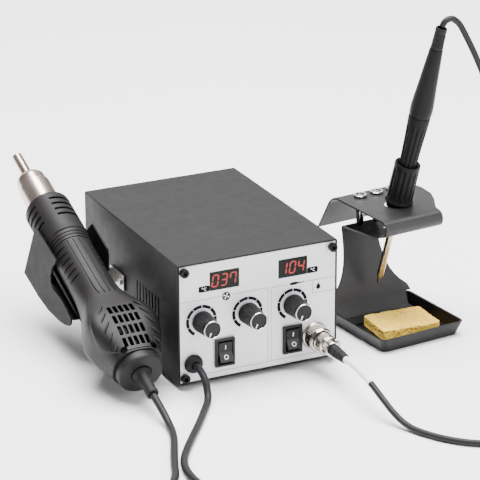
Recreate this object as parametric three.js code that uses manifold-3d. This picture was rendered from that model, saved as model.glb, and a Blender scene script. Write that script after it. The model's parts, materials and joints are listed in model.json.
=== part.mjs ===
// Hot-air and soldering iron station: a sheet-metal control case, a hot-air gun in its cradle,
// and a soldering iron in a bent-sheet stand with a sponge tray.
// Millimetres, +Z up, front panel towards -Y, floor at z = 0.
import * as THREE from 'three';
import { mergeVertices } from 'three/addons/utils/BufferGeometryUtils.js';
import Module from 'manifold-3d';

const wasm = await Module();
wasm.setup();

// ---------------------------------------------------------------- driving dimensions
const GAP = 0.3; // clearance between pieces that touch
const SHEET = 1.2; // folded steel sheet of case, cradle and stand

// control case
const CASE_WIDTH = 122.6;
const CASE_DEPTH = 168;
const CASE_HEIGHT = 89;
const FOOT_HEIGHT = 3.5;
const FOOT_RADIUS = 6;
const FOOT_INSET = 14;
const PANEL_THICKNESS = 1.5;
const LIP_HEIGHT = 10;
const LUG_SIZE = 7;
const LUG_DEPTH = 7;

// louvres in both sides of the cover
const LOUVRE_COUNT = 8;
const LOUVRE_PITCH = 5.4;
const LOUVRE_WIDTH = 1.7;
const LOUVRE_HEIGHT = 17.5;
const LOUVRE_FIRST = 33.3; // behind the front edge
const LOUVRE_CENTRE = 44.8; // above the case bottom

// panel fasteners
const SCREW_HEAD_RADIUS = 3.3;
const SCREW_HEAD_HEIGHT = 3.4;
const SCREW_SHANK_RADIUS = 1.5;
const SCREW_LENGTH = 7;
const HEX_KEY = 2.5; // across flats
const SCREW_EDGE_X = 4.4; // from the case side
const SCREW_EDGE_Z = 5.2; // from the case top and bottom

// displays, knobs, switches, sockets: centres from the panel middle and the case bottom
const DISPLAY_WIDTH = 22.5;
const DISPLAY_HEIGHT = 13.9;
const DISPLAY_DEPTH = 8;
const DISPLAYS = { display_air: -25.9, display_iron: 26.6 };
const DISPLAY_Z = 73.4;
const KNOBS = { air_flow: -43.6, air_heat: -8.5, iron_heat: 26.3 };
const KNOB_Z = 45.8;
const KNOB_BASE_RADIUS = 7.75;
const KNOB_FACE_RADIUS = 6.5;
const KNOB_HEIGHT = 17.3;
const KNOB_STANDOFF = 1.2; // under the knob, above the panel
const KNOB_REST = THREE.MathUtils.degToRad(22); // lowest setting, past straight down
const POINTER_WIDTH = 1.4;
const SPINDLE_RADIUS = 2.5;
const BUSH_RADIUS = 3.5;
const BUSH_REACH = 5; // in front of the panel
const POT_RADIUS = 8;
const POT_DEPTH = 9;
const SWITCHES = { air: -26.4, iron: 26.1 };
const SWITCH_Z = 19.5;
const BEZEL_WIDTH = 15;
const BEZEL_HEIGHT = 21;
const BEZEL_THICKNESS = 2;
const SWITCH_BODY_WIDTH = 12.4;
const SWITCH_BODY_HEIGHT = 18.4;
const SWITCH_BODY_DEPTH = 15;
const ROCKER_WIDTH = 10.2;
const ROCKER_RADIUS = 8.1; // end faces, about the pivot
const ROCKER_TILT = THREE.MathUtils.degToRad(11);
const ROCKER_PIVOT_Y = 0.5;
const GLAND_X = -50.3;
const GLAND_Z = 15.1;
const GLAND_RADIUS = 6.75;
const GLAND_REACH = 4.7;
const SOCKET_X = 43.6;
const SOCKET_Z = 19.1;
const SOCKET_FLANGE_RADIUS = 10;
const SOCKET_NECK_RADIUS = 7;
const SOCKET_BODY_RADIUS = 7.7;
const SOCKET_BORE = 5.8;
const SOCKET_REACH = 9; // in front of the panel
const PLUG_RADIUS = 7.1;
const PLUG_REACH = 30;
const PLUG_RING_RADIUS = 9.3;
const PLUG_RING_END = 13;
const PLUG_BOOT_END = 48;

// mains inlet on the rear wall
const INLET_WIDTH = 27;
const INLET_HEIGHT = 19.8;
const INLET_X = -30;
const INLET_Z = 26;

// hot-air gun: s runs from the end cap to the nozzle
const GUN_OFFSET = 30.7; // axis, out from the case side
const GUN_Y = -6.4;
const GUN_Z = 21;
const GUN_SLOPE = THREE.MathUtils.degToRad(20.2);
const GUN_WALL = 2;
const GUARD_RADIUS = 17.2;
const GUARD_START = 141;
const GUARD_END = 183;
const HANDLE_RADIUS = 15.8;
const HANDLE_FLARE = 0.9; // at the guard
const HOUSING_HALF_WIDTH = 26.2;
const HOUSING_TOP = 21.5;
const HOUSING_BOTTOM = 19;
const HOUSING_CENTRE = 39;
const SEAM_LEVEL = -5;
const END_CAP_RADIUS = 16.5;
const END_CAP_LENGTH = 7;
const HEATER_TUBE_RADIUS = 10.2;
const HEATER_TUBE_WALL = 0.8;
const NOZZLE_RADIUS = 12.3;
const NOZZLE_START = 186;
const NOZZLE_SHOULDER = 208;
const NOZZLE_CAP_RADIUS = 11.1; // past the shoulder
const NOZZLE_NECK = 222.5;
const NOZZLE_END = 247;
const NOZZLE_BORE = 2.9;
const NOZZLE_TUBE_RADIUS = 3.9;
const FAN_RADIUS = 17;
const GUN_BOOT_LENGTH = 21;
const GUN_CORD_RADIUS = 2.6;

// cradle on the left side of the case
const CRADLE_CLEARANCE = 0.7; // around the gun
const CRADLE_START = 73;
const CRADLE_END = 150;
const CRADLE_LIP = 15; // top of the inner wing above the gun's axis
// outline of the flat outer flap: distance along the gun, height over its axis
const FLAP_OUTLINE = [
  [159.2, 6.1], [120, 8.6], [118, 7.8], [118.2, 5], [121.9, -0.4], [123.1, -9.4], [121, -14.5],
  [115.1, -16.3], [102.5, -13.6], [90.6, -13.6], [80.7, -15.2], [80.4, -20], [83, -23.6],
  [91, -28.7], [99.6, -32.8], [119.6, -39.7], [138.6, -43.1], [168.4, -44.9],
];

// iron stand, in its own frame: u across, v back, h above the floor
const STAND_OFFSET = 65.65; // middle of the stand, out from the case side
const STAND_Y = 29.5;
const STAND_TURN = THREE.MathUtils.degToRad(6.3);
const TRAY_WIDTH = 73;
const TRAY_FRONT = -34;
const TRAY_BACK = 38.2;
const TRAY_HEIGHT = 11;
const TRAY_DRAFT = 3.7;
const TRAY_WALL = 1.8;
const TRAY_FLOOR = 2.5;
const TRAY_CORNER = 5;
const SPONGE_WIDTH = 47;
const SPONGE_DEPTH = 34;
const SPONGE_THICKNESS = 7.5;
const SPONGE_TURN = THREE.MathUtils.degToRad(-8);
const RISER_HALF_WIDTH = 37;
const WAIST_HALF_WIDTH = 14;
const HEAD_HALF_WIDTH = 24.7;
const HEAD_TOP = 93; // middle of the top plate
const NOSE_RADIUS = 5.5;
const NOSE_CENTRE_V = -13.5;
const RISER_FOOT_V = 36.3;
const RISER_FOOT_H = 12.3;
const RISER_TOP_V = 52.6;
const RISER_TOP_H = 67.2;

// iron, along its own axis from the middle of the funnel's foot
const IRON_BASE = new THREE.Vector3(6.4, 10.3, HEAD_TOP + 3.25);
const IRON_LEAN = new THREE.Vector3(0.075, -0.233, 0.9696).normalize();
const FUNNEL_HEIGHT = 31.2;
const FUNNEL_TOP_RADIUS = 8.4;
const FUNNEL_FOOT_RADIUS = 9;
const FUNNEL_FLANGE_RADIUS = 10.4;
const FUNNEL_BORE = 7.3;
const GRIP_RADIUS = 6.9; // above the funnel
const GRIP_TOP_RADIUS = 7.9;
const GRIP_START = 10;
const GRIP_END = 70.1;
const BULGE_RADIUS = 8.25;
const HANDLE_END = 124.1;
const HANDLE_END_RADIUS = 4.75;
const IRON_BOOT_END = 140.2;
const SLEEVE_RADIUS = 2.5;
const TIP_END = -71.9;
const SLEEVE_END = -64.4;
const IRON_CORD_RADIUS = 2.25;
const SPARE_TIPS = [-8, 6.5, 20.5];
const SPARE_TIP_V = 38.5;
const SPARE_RIM_RADIUS = 5;
const SPARE_SHANK_RADIUS = 3;

// cords: coils on the floor, and the middle lines of the stretches that are not coiled
const GUN_COIL = { x: -135, y: -200, inner: 19, outer: 36.9, height: 11 };
const IRON_COIL = { x: 143, y: -152, inner: 15.5, outer: 30.5, height: 9.6 };
const GUN_CORD_PANEL = [
  [-50.3, -5, 18.6], [-50.3, -10, 18.3], [-50.3, -15.5, 16.7], [-50.4, -20.2, 13.3],
  [-50.8, -24, 8.8], [-52.1, -28, 4.9], [-55, -33.2, 2.9], [-60.2, -40.8, 2.7],
  [-68.2, -52.6, 2.7], [-77, -65, 2.7], [-87, -78.6, 2.7], [-97, -92.8, 2.7],
  [-105.3, -107, 2.7], [-109.8, -122, 2.7], [-110.6, -138, 2.7], [-107.6, -154, 2.7],
  [-103, -168, 2.7], [-101, -179.8, 2.7],
];
const GUN_CORD_HANDLE = [
  [-92, -26.4, 13.65], [-92, -34, 11.2], [-92, -41, 8.6], [-92.1, -48, 5.8],
  [-92.7, -55, 3.5], [-94.3, -63, 2.7], [-97.4, -72.5, 2.7], [-101.8, -83, 2.7],
  [-107.4, -95.5, 2.7], [-113.4, -109.5, 2.7], [-119.5, -124.5, 2.7], [-129, -138.5, 2.7],
  [-142, -150.5, 2.7], [-155, -161.5, 2.9], [-164.5, -172, 4.4], [-168.6, -179.8, 6.4],
];
const IRON_CORD_HANDLE = [
  [146.4, 8.8, 233.2], [147.9, 8.4, 236.2], [150.7, 8.2, 237.9], [153.8, 8.1, 238],
  [156.8, 8.1, 236.2], [159.3, 8, 233.9], [161.6, 8, 230.6], [165, 8, 224.7],
  [169.4, 8, 216.6], [174.5, 8, 206.6], [180, 8, 194.5], [185, 8, 181],
  [189, 8, 166], [192.3, 8, 150], [194.8, 8, 133], [196.6, 8, 115], [197.9, 8, 97],
  [198.7, 8, 78], [199.1, 8, 59], [199.3, 8, 41], [199.4, 7.4, 26], [199.4, 4.6, 13.6],
  [199.2, -1.5, 5.6], [198.5, -10, 2.7], [196.9, -21, 2.4], [194.4, -35, 2.35],
  [191, -51, 2.35], [187.4, -68, 2.35], [184.2, -85, 2.35], [181.9, -102, 2.35],
  [180.7, -119, 2.35], [180.6, -135, 2.35], [180.3, -149, 2.35], [177.5, -162.5, 2.35],
  [171, -173.5, 2.35], [160, -180, 2.35],
];
const IRON_CORD_PLUG = [
  [43.6, -48.3, 22.6], [43.6, -56, 22.9], [43.6, -65, 22.6], [43.6, -75, 21.4],
  [43.7, -85, 19.2], [44, -94, 16.4], [44.8, -103, 12.8], [46.2, -111.5, 8.8],
  [48.4, -120, 5.2], [51.6, -129, 2.9], [56.5, -139.5, 2.35], [63.5, -151, 2.35],
  [73, -161.5, 2.35], [85, -170, 2.35], [99, -176.5, 2.6], [113, -179.4, 3.6],
  [126, -180, 5.3],
];

// sizes that follow from the ones above
const GUN_X = -CASE_WIDTH / 2 - GUN_OFFSET;
const STAND_X = CASE_WIDTH / 2 + STAND_OFFSET;
const CRADLE_RADIUS = Math.max(GUARD_RADIUS, HANDLE_RADIUS + HANDLE_FLARE) + CRADLE_CLEARANCE;

// ---------------------------------------------------------------- finishes
const finish = (color, roughness, metalness) =>
  new THREE.MeshStandardMaterial({ color, roughness, metalness });
const PAINT = finish(0x35343a, 0.5, 0.2);
const PANEL = finish(0xd9dade, 0.45, 0.3);
const STEEL = finish(0xb9bbc0, 0.3, 0.9);
const CHROME = finish(0xe2e4e8, 0.12, 1);
const BRASS = finish(0xc9a35a, 0.35, 0.9);
const BLACK_PLASTIC = finish(0x2e2d31, 0.6, 0);
const GUN_PLASTIC = finish(0x47474c, 0.65, 0);
const RUBBER = finish(0x1c1c1e, 0.85, 0);
const GLASS = finish(0x16201b, 0.15, 0);
const SPONGE = finish(0xf2cf4a, 0.95, 0);
const BOARD = finish(0x1f5a3a, 0.6, 0);
const CERAMIC = finish(0xe8e2d4, 0.7, 0);
const CORD = finish(0x6d6d70, 0.6, 0);

// ---------------------------------------------------------------- shape helpers
function signedVolume(position, index) {
  const a = new THREE.Vector3();
  const b = new THREE.Vector3();
  const c = new THREE.Vector3();
  let sum = 0;
  for (let i = 0; i < index.length; i += 3) {
    a.fromBufferAttribute(position, index[i]);
    b.fromBufferAttribute(position, index[i + 1]);
    c.fromBufferAttribute(position, index[i + 2]);
    sum += a.dot(b.cross(c));
  }
  return sum / 6;
}

/** A closed solid from a three.js geometry. */
function solid(geometry) {
  const bare = geometry.index ? geometry.toNonIndexed() : geometry.clone();
  bare.deleteAttribute('normal');
  bare.deleteAttribute('uv');
  const merged = mergeVertices(bare, 1e-4);
  const old = merged.index.array;
  const index = [];
  for (let i = 0; i < old.length; i += 3) {
    const [p, q, r] = [old[i], old[i + 1], old[i + 2]];
    if (p !== q && q !== r && r !== p) index.push(p, q, r);
  }
  if (signedVolume(merged.attributes.position, index) < 0) index.reverse();
  const vertProperties = new Float32Array(merged.attributes.position.array);
  const triVerts = new Uint32Array(index);
  return new wasm.Manifold(new wasm.Mesh({ numProp: 3, vertProperties, triVerts }));
}

const cut = (body, ...tools) => tools.reduce((rest, tool) => rest.subtract(tool), body);
const join = (body, ...more) => more.reduce((all, next) => all.add(next), body);

/** A block between two corners. */
function block(x0, x1, y0, y1, z0, z1) {
  const geometry = new THREE.BoxGeometry(x1 - x0, y1 - y0, z1 - z0);
  return solid(geometry.translate((x0 + x1) / 2, (y0 + y1) / 2, (z0 + z1) / 2));
}

/** A turned piece about Y: points are [radius, y], from axis to axis or closed on itself. */
function turnedY(points, segments = 24, x = 0, z = 0) {
  const profile = points.map(([r, y]) => new THREE.Vector2(r, y));
  return solid(new THREE.LatheGeometry(profile, segments).translate(x, 0, z));
}

/** A turned piece about Z: points are [radius, z]. */
function turnedZ(points, segments = 24, x = 0, y = 0) {
  const profile = points.map(([r, z]) => new THREE.Vector2(r, z));
  const geometry = new THREE.LatheGeometry(profile, segments).rotateX(Math.PI / 2);
  return solid(geometry.translate(x, y, 0));
}

const rodY = (radius, y0, y1, x, z, segments = 20) =>
  turnedY([[0, y0], [radius, y0], [radius, y1], [0, y1]], segments, x, z);
const rodZ = (radius, z0, z1, x, y, segments = 20) =>
  turnedZ([[0, z0], [radius, z0], [radius, z1], [0, z1]], segments, x, y);

/** An outline in x and z, pulled from y0 to y1. */
function prismY(points, y0, y1) {
  const shape = new THREE.Shape(points.map(([x, z]) => new THREE.Vector2(x, z)));
  const geometry = new THREE.ExtrudeGeometry(shape, { depth: y1 - y0, bevelEnabled: false });
  return solid(geometry.rotateX(Math.PI / 2).translate(0, y1, 0));
}

/** An outline in x and y, pulled from z0 to z1. */
function prismZ(points, z0, z1) {
  const shape = new THREE.Shape(points.map(([x, y]) => new THREE.Vector2(x, y)));
  const geometry = new THREE.ExtrudeGeometry(shape, { depth: z1 - z0, bevelEnabled: false });
  return solid(geometry.translate(0, 0, z0));
}

/** An outline in y and z, pulled from x0 to x1. */
function prismX(points, x0, x1) {
  const shape = new THREE.Shape(points.map(([y, z]) => new THREE.Vector2(y, z)));
  const geometry = new THREE.ExtrudeGeometry(shape, { depth: x1 - x0, bevelEnabled: false });
  geometry.rotateX(Math.PI / 2).rotateZ(Math.PI / 2);
  return solid(geometry.translate(x0, 0, 0));
}

/** Points on an arc, angles in degrees. */
function arc(cx, cy, radius, from, to, steps) {
  return Array.from({ length: steps + 1 }, (_, i) => {
    const angle = THREE.MathUtils.degToRad(from + ((to - from) * i) / steps);
    return [cx + radius * Math.cos(angle), cy + radius * Math.sin(angle)];
  });
}

/** The outline of a bent sheet of even thickness along a middle line. */
function sheetOutline(line, thickness = SHEET) {
  const points = line.map(([x, y]) => new THREE.Vector2(x, y));
  const sides = [[], []];
  points.forEach((point, i) => {
    const before = points[Math.max(i - 1, 0)];
    const after = points[Math.min(i + 1, points.length - 1)];
    const into = (i ? point.clone().sub(before) : after.clone().sub(point)).normalize();
    const out = (i < points.length - 1 ? after.clone().sub(point) : into.clone()).normalize();
    const mitre = new THREE.Vector2(-into.y - out.y, into.x + out.x).normalize();
    const reach = thickness / 2 / mitre.dot(new THREE.Vector2(-into.y, into.x));
    sides[0].push([point.x + mitre.x * reach, point.y + mitre.y * reach]);
    sides[1].push([point.x - mitre.x * reach, point.y - mitre.y * reach]);
  });
  return [...sides[0], ...sides[1].reverse()];
}

/** A rectangle with round corners, as points in x and y. */
function roundedRectangle(width, depth, radius, cx = 0, cy = 0, steps = 3) {
  const [x, y] = [width / 2 - radius, depth / 2 - radius];
  return [
    ...arc(cx + x, cy + y, radius, 0, 90, steps),
    ...arc(cx - x, cy + y, radius, 90, 180, steps),
    ...arc(cx - x, cy - y, radius, 180, 270, steps),
    ...arc(cx + x, cy - y, radius, 270, 360, steps),
  ];
}

/** A rounded block that narrows towards its foot. */
function draftedBlock(width, depth, radius, z0, z1, footWidth, footDepth, cy) {
  const shape = new THREE.Shape(
    roundedRectangle(width, depth, radius).map(([x, y]) => new THREE.Vector2(x, y)),
  );
  const geometry = new THREE.ExtrudeGeometry(shape, { depth: z1 - z0, bevelEnabled: false });
  const position = geometry.attributes.position;
  for (let i = 0; i < position.count; i += 1) {
    if (position.getZ(i) > 1e-6) continue;
    position.setX(i, (position.getX(i) * footWidth) / width);
    position.setY(i, (position.getY(i) * footDepth) / depth);
  }
  return solid(geometry.translate(0, cy, z0));
}

/** An oval body along Y: stations are [y, half width, top, bottom]. */
function ovalBody(stations, segments = 24) {
  const first = stations[0];
  const last = stations[stations.length - 1];
  const profile = [
    new THREE.Vector2(0, first[0]),
    ...stations.map(([y]) => new THREE.Vector2(1, y)),
    new THREE.Vector2(0, last[0]),
  ];
  const geometry = new THREE.LatheGeometry(profile, segments);
  const position = geometry.attributes.position;
  for (let i = 0; i < position.count; i += 1) {
    const y = position.getY(i);
    const [, half, top, bottom] = stations.find(([at]) => Math.abs(at - y) < 1e-4);
    const z = position.getZ(i);
    position.setX(i, position.getX(i) * half);
    position.setZ(i, z * (z > 0 ? top : bottom));
  }
  return solid(geometry);
}

/** A round tube of cord through the given points. */
function cordTube(points, radius, steps) {
  const path = new THREE.CatmullRomCurve3(points.map((p) => new THREE.Vector3(...p)));
  const section = new THREE.Shape(
    arc(0, 0, radius, 0, 315, 7).map(([x, y]) => new THREE.Vector2(x, y)),
  );
  return solid(new THREE.ExtrudeGeometry(section, { steps, extrudePath: path, bevelEnabled: false }));
}

/** A named mesh of one solid. */
function piece(group, name, body, material) {
  const { vertProperties, triVerts } = body.getMesh();
  const geometry = new THREE.BufferGeometry();
  geometry.setAttribute('position', new THREE.BufferAttribute(new Float32Array(vertProperties), 3));
  geometry.setIndex(new THREE.BufferAttribute(new Uint32Array(triVerts), 1));
  geometry.computeVertexNormals();
  const mesh = new THREE.Mesh(geometry, material);
  mesh.name = name;
  group.add(mesh);
}

// ---------------------------------------------------------------- control case
const PANEL_FRONT = GAP;
const PANEL_BACK = PANEL_FRONT + PANEL_THICKNESS;
const BEHIND_PANEL = PANEL_BACK + GAP;
const CASE_BOTTOM = FOOT_HEIGHT;
const CASE_TOP = CASE_BOTTOM + CASE_HEIGHT;
const INNER_HALF = CASE_WIDTH / 2 - SHEET - GAP;
const INNER_TOP = CASE_TOP - SHEET - GAP;
const onPanel = (z) => CASE_BOTTOM + z;
const SCREW_X = CASE_WIDTH / 2 - SCREW_EDGE_X;
const SCREW_LEVELS = [onPanel(SCREW_EDGE_Z), CASE_TOP - SCREW_EDGE_Z];

function addCase(group) {
  const screwHole = (x, z, y0, y1) => rodY(SCREW_SHANK_RADIUS + GAP, y0, y1, x, z, 16);
  const screwSpots = SCREW_LEVELS.flatMap((z) => [-SCREW_X, SCREW_X].map((x) => [x, z]));

  const inletHole = block(
    INLET_X - INLET_WIDTH / 2 - GAP, INLET_X + INLET_WIDTH / 2 + GAP,
    CASE_DEPTH - 3 * SHEET, CASE_DEPTH + 1,
    onPanel(INLET_Z) - INLET_HEIGHT / 2 - GAP, onPanel(INLET_Z) + INLET_HEIGHT / 2 + GAP,
  );
  const lowerLugs = [-1, 1].map((side) =>
    block(
      Math.min(side * INNER_HALF, side * (INNER_HALF - LUG_SIZE)),
      Math.max(side * INNER_HALF, side * (INNER_HALF - LUG_SIZE)),
      BEHIND_PANEL, BEHIND_PANEL + LUG_DEPTH, CASE_BOTTOM, CASE_BOTTOM + LIP_HEIGHT,
    ));
  const chassis = join(
    block(-INNER_HALF, INNER_HALF, 0, CASE_DEPTH, CASE_BOTTOM, CASE_BOTTOM + SHEET),
    block(-INNER_HALF, INNER_HALF, CASE_DEPTH - SHEET, CASE_DEPTH, CASE_BOTTOM, INNER_TOP),
    block(-INNER_HALF, -INNER_HALF + SHEET, BEHIND_PANEL, CASE_DEPTH, CASE_BOTTOM,
      CASE_BOTTOM + LIP_HEIGHT),
    block(INNER_HALF - SHEET, INNER_HALF, BEHIND_PANEL, CASE_DEPTH, CASE_BOTTOM,
      CASE_BOTTOM + LIP_HEIGHT),
    ...lowerLugs,
  );
  const lowerHoles = screwSpots.slice(0, 2)
    .map(([x, z]) => screwHole(x, z, BEHIND_PANEL - 1, BEHIND_PANEL + LUG_DEPTH + 1));
  piece(group, 'base_chassis', cut(chassis, inletHole, ...lowerHoles), PAINT);

  const half = CASE_WIDTH / 2;
  const foldedCover = prismY([
    [-half, CASE_BOTTOM], [-half + SHEET, CASE_BOTTOM], [-half + SHEET, CASE_TOP - SHEET],
    [half - SHEET, CASE_TOP - SHEET], [half - SHEET, CASE_BOTTOM], [half, CASE_BOTTOM],
    ...arc(half - SHEET, CASE_TOP - SHEET, SHEET, 0, 90, 2),
    ...arc(-half + SHEET, CASE_TOP - SHEET, SHEET, 90, 180, 2),
  ], 0, CASE_DEPTH);
  const upperLugs = [-1, 1].map((side) =>
    block(
      Math.min(side * (half - SHEET / 2), side * (INNER_HALF - LUG_SIZE)),
      Math.max(side * (half - SHEET / 2), side * (INNER_HALF - LUG_SIZE)),
      BEHIND_PANEL, BEHIND_PANEL + LUG_DEPTH, CASE_TOP - LIP_HEIGHT, CASE_TOP - SHEET / 2,
    ));
  const upperHoles = screwSpots.slice(2)
    .map(([x, z]) => screwHole(x, z, BEHIND_PANEL - 1, BEHIND_PANEL + LUG_DEPTH + 1));
  const louvres = Array.from({ length: LOUVRE_COUNT }, (_, i) => {
    const y = LOUVRE_FIRST + i * LOUVRE_PITCH;
    const z = onPanel(LOUVRE_CENTRE);
    return block(-half - 1, half + 1, y - LOUVRE_WIDTH / 2, y + LOUVRE_WIDTH / 2,
      z - LOUVRE_HEIGHT / 2, z + LOUVRE_HEIGHT / 2);
  });
  const cover = cut(join(foldedCover, ...upperLugs), ...upperHoles, ...louvres);
  piece(group, 'top_cover', cover, PAINT);

  const holes = [
    ...screwSpots.map(([x, z]) => screwHole(x, z, -1, BEHIND_PANEL)),
    ...Object.values(DISPLAYS).map((x) => block(
      x - DISPLAY_WIDTH / 2, x + DISPLAY_WIDTH / 2, -1, BEHIND_PANEL,
      onPanel(DISPLAY_Z) - DISPLAY_HEIGHT / 2, onPanel(DISPLAY_Z) + DISPLAY_HEIGHT / 2,
    )),
    ...Object.values(SWITCHES).map((x) => block(
      x - SWITCH_BODY_WIDTH / 2 - GAP, x + SWITCH_BODY_WIDTH / 2 + GAP, -1, BEHIND_PANEL,
      onPanel(SWITCH_Z) - SWITCH_BODY_HEIGHT / 2 - GAP,
      onPanel(SWITCH_Z) + SWITCH_BODY_HEIGHT / 2 + GAP,
    )),
    ...Object.values(KNOBS).map((x) =>
      rodY(BUSH_RADIUS + GAP, -1, BEHIND_PANEL, x, onPanel(KNOB_Z))),
    rodY(GLAND_RADIUS - 1.5, -1, BEHIND_PANEL, GLAND_X, onPanel(GLAND_Z)),
    rodY(SOCKET_BODY_RADIUS + GAP, -1, BEHIND_PANEL, SOCKET_X, onPanel(SOCKET_Z)),
  ];
  const plate = block(-INNER_HALF, INNER_HALF, PANEL_FRONT, PANEL_BACK,
    CASE_BOTTOM + SHEET + GAP, INNER_TOP);
  piece(group, 'front_panel', cut(plate, ...holes), PANEL);

  screwSpots.forEach(([x, z], i) => {
    const head = rodY(SCREW_HEAD_RADIUS, -SCREW_HEAD_HEIGHT, 0, x, z);
    const shank = rodY(SCREW_SHANK_RADIUS, -GAP, SCREW_LENGTH, x, z, 12);
    const key = rodY(HEX_KEY / Math.sqrt(3), -SCREW_HEAD_HEIGHT - 1, -1.2, x, z, 6);
    piece(group, `panel_screw_${i + 1}`, cut(join(head, shank), key), STEEL);
  });

  const footX = CASE_WIDTH / 2 - FOOT_INSET;
  [[-footX, FOOT_INSET], [footX, FOOT_INSET], [-footX, CASE_DEPTH - FOOT_INSET],
    [footX, CASE_DEPTH - FOOT_INSET]].forEach(([x, y], i) => {
    const top = FOOT_HEIGHT - GAP;
    const profile = [[0, 0], [FOOT_RADIUS - 1, 0], [FOOT_RADIUS, top], [0, top]];
    piece(group, `foot_${i + 1}`, turnedZ(profile, 20, x, y), RUBBER);
  });
}

function addInside(group) {
  const z = onPanel(INLET_Z);
  const w = INLET_WIDTH / 2;
  const h = INLET_HEIGHT / 2;
  const body = join(
    block(INLET_X - w - 2, INLET_X + w + 2, CASE_DEPTH + GAP, CASE_DEPTH + 2.3, z - h - 2, z + h + 2),
    block(INLET_X - w, INLET_X + w, CASE_DEPTH - 20, CASE_DEPTH + 1, z - h, z + h),
  );
  const recess = block(INLET_X - w + 1.8, INLET_X + w - 1.8, CASE_DEPTH - 16, CASE_DEPTH + 4,
    z - h + 1.8, z + h - 1.8);
  const blades = [[-7, -1.5], [0, 2.5], [7, -1.5]].map(([x, up]) => block(
    INLET_X + x - 1, INLET_X + x + 1, CASE_DEPTH - 17, CASE_DEPTH - 5, z + up - 2, z + up + 2,
  ));
  piece(group, 'mains_inlet', join(cut(body, recess), ...blades), BLACK_PLASTIC);

  const floor = CASE_BOTTOM + SHEET + GAP;
  const core = block(2, 50, 104, 146, floor, floor + 50);
  const winding = block(-3, 55, 112, 138, floor + 9, floor + 41);
  piece(group, 'transformer', join(core, winding), STEEL);

  const boardTop = floor + 7;
  const board = join(
    block(-50, 50, 28, 96, boardTop - 1.6, boardTop),
    block(-46, -40, 34, 90, boardTop - 0.1, boardTop + 26),
    block(-10, 8, 60, 76, boardTop - 0.1, boardTop + 16),
    rodZ(6.5, boardTop - 0.1, boardTop + 22, 25, 76, 16),
    rodZ(1.5, floor, boardTop - 0.8, -47, 31, 8),
    rodZ(1.5, floor, boardTop - 0.8, 47, 31, 8),
    rodZ(1.5, floor, boardTop - 0.8, -47, 93, 8),
    rodZ(1.5, floor, boardTop - 0.8, 47, 93, 8),
  );
  piece(group, 'main_board', board, BOARD);
}

// ---------------------------------------------------------------- panel controls
function addControls(group) {
  Object.entries(DISPLAYS).forEach(([name, x]) => {
    const z = onPanel(DISPLAY_Z);
    piece(group, name, block(
      x - DISPLAY_WIDTH / 2 + GAP, x + DISPLAY_WIDTH / 2 - GAP, PANEL_FRONT,
      PANEL_FRONT + DISPLAY_DEPTH, z - DISPLAY_HEIGHT / 2 + GAP, z + DISPLAY_HEIGHT / 2 - GAP,
    ), GLASS);
  });

  Object.entries(KNOBS).forEach(([name, x]) => {
    const potBack = BEHIND_PANEL + POT_DEPTH;
    const bore = SPINDLE_RADIUS + GAP;
    const pot = turnedY([
      [0, potBack], [POT_RADIUS, potBack], [POT_RADIUS, BEHIND_PANEL], [BUSH_RADIUS, BEHIND_PANEL],
      [BUSH_RADIUS, -BUSH_REACH], [bore, -BUSH_REACH], [bore, potBack - 2], [0, potBack - 2],
    ], 24, x, onPanel(KNOB_Z));
    piece(group, `pot_${name}`, pot, STEEL);

    const back = -KNOB_STANDOFF;
    const face = back - KNOB_HEIGHT;
    const pocket = BUSH_RADIUS + 0.7;
    const pocketEnd = -BUSH_REACH - 1;
    const knob = turnedY([
      [0, potBack - 2.5], [SPINDLE_RADIUS, potBack - 2.5], [SPINDLE_RADIUS, pocketEnd],
      [pocket, pocketEnd], [pocket, back], [KNOB_BASE_RADIUS, back], [KNOB_BASE_RADIUS, back - 1.5],
      [KNOB_FACE_RADIUS, face + 0.6], [KNOB_FACE_RADIUS - 0.6, face], [0, face],
    ], 24, x, onPanel(KNOB_Z));
    const notch = new THREE.BoxGeometry(POINTER_WIDTH, 1.5, KNOB_FACE_RADIUS - 2)
      .translate(0, face - 0.25, -KNOB_FACE_RADIUS / 2 - 1)
      .rotateY(KNOB_REST)
      .translate(x, 0, onPanel(KNOB_Z));
    piece(group, `knob_${name}`, cut(knob, solid(notch)), BLACK_PLASTIC);
  });

  Object.entries(SWITCHES).forEach(([name, x]) => {
    const z = onPanel(SWITCH_Z);
    const frame = join(
      block(x - BEZEL_WIDTH / 2, x + BEZEL_WIDTH / 2, -BEZEL_THICKNESS, 0,
        z - BEZEL_HEIGHT / 2, z + BEZEL_HEIGHT / 2),
      block(x - SWITCH_BODY_WIDTH / 2, x + SWITCH_BODY_WIDTH / 2, -1, SWITCH_BODY_DEPTH,
        z - SWITCH_BODY_HEIGHT / 2, z + SWITCH_BODY_HEIGHT / 2),
    );
    const halfWell = ROCKER_RADIUS + 2 * GAP;
    const well = block(x - ROCKER_WIDTH / 2 - GAP, x + ROCKER_WIDTH / 2 + GAP, -4, 7,
      z - halfWell, z + halfWell);
    piece(group, `switch_frame_${name}`, cut(frame, well), BLACK_PLASTIC);

    // the upper half is pressed in, which is the switched-on side
    const ends = [
      ...arc(0, 0, ROCKER_RADIUS, -32, 24, 4).map(([r, y]) => [y, r]),
    ];
    const lowerEnds = ends.map(([y, up]) => [y, -up]).reverse();
    const outline = [[-2, 0], ...ends, ...lowerEnds].map(([y, up]) => {
      const [c, s] = [Math.cos(-ROCKER_TILT), Math.sin(-ROCKER_TILT)];
      return [ROCKER_PIVOT_Y + y * c - up * s, z + y * s + up * c];
    });
    const rocker = prismX(outline, x - ROCKER_WIDTH / 2, x + ROCKER_WIDTH / 2);
    piece(group, `rocker_${name}`, rocker, BLACK_PLASTIC);
  });
}


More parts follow.
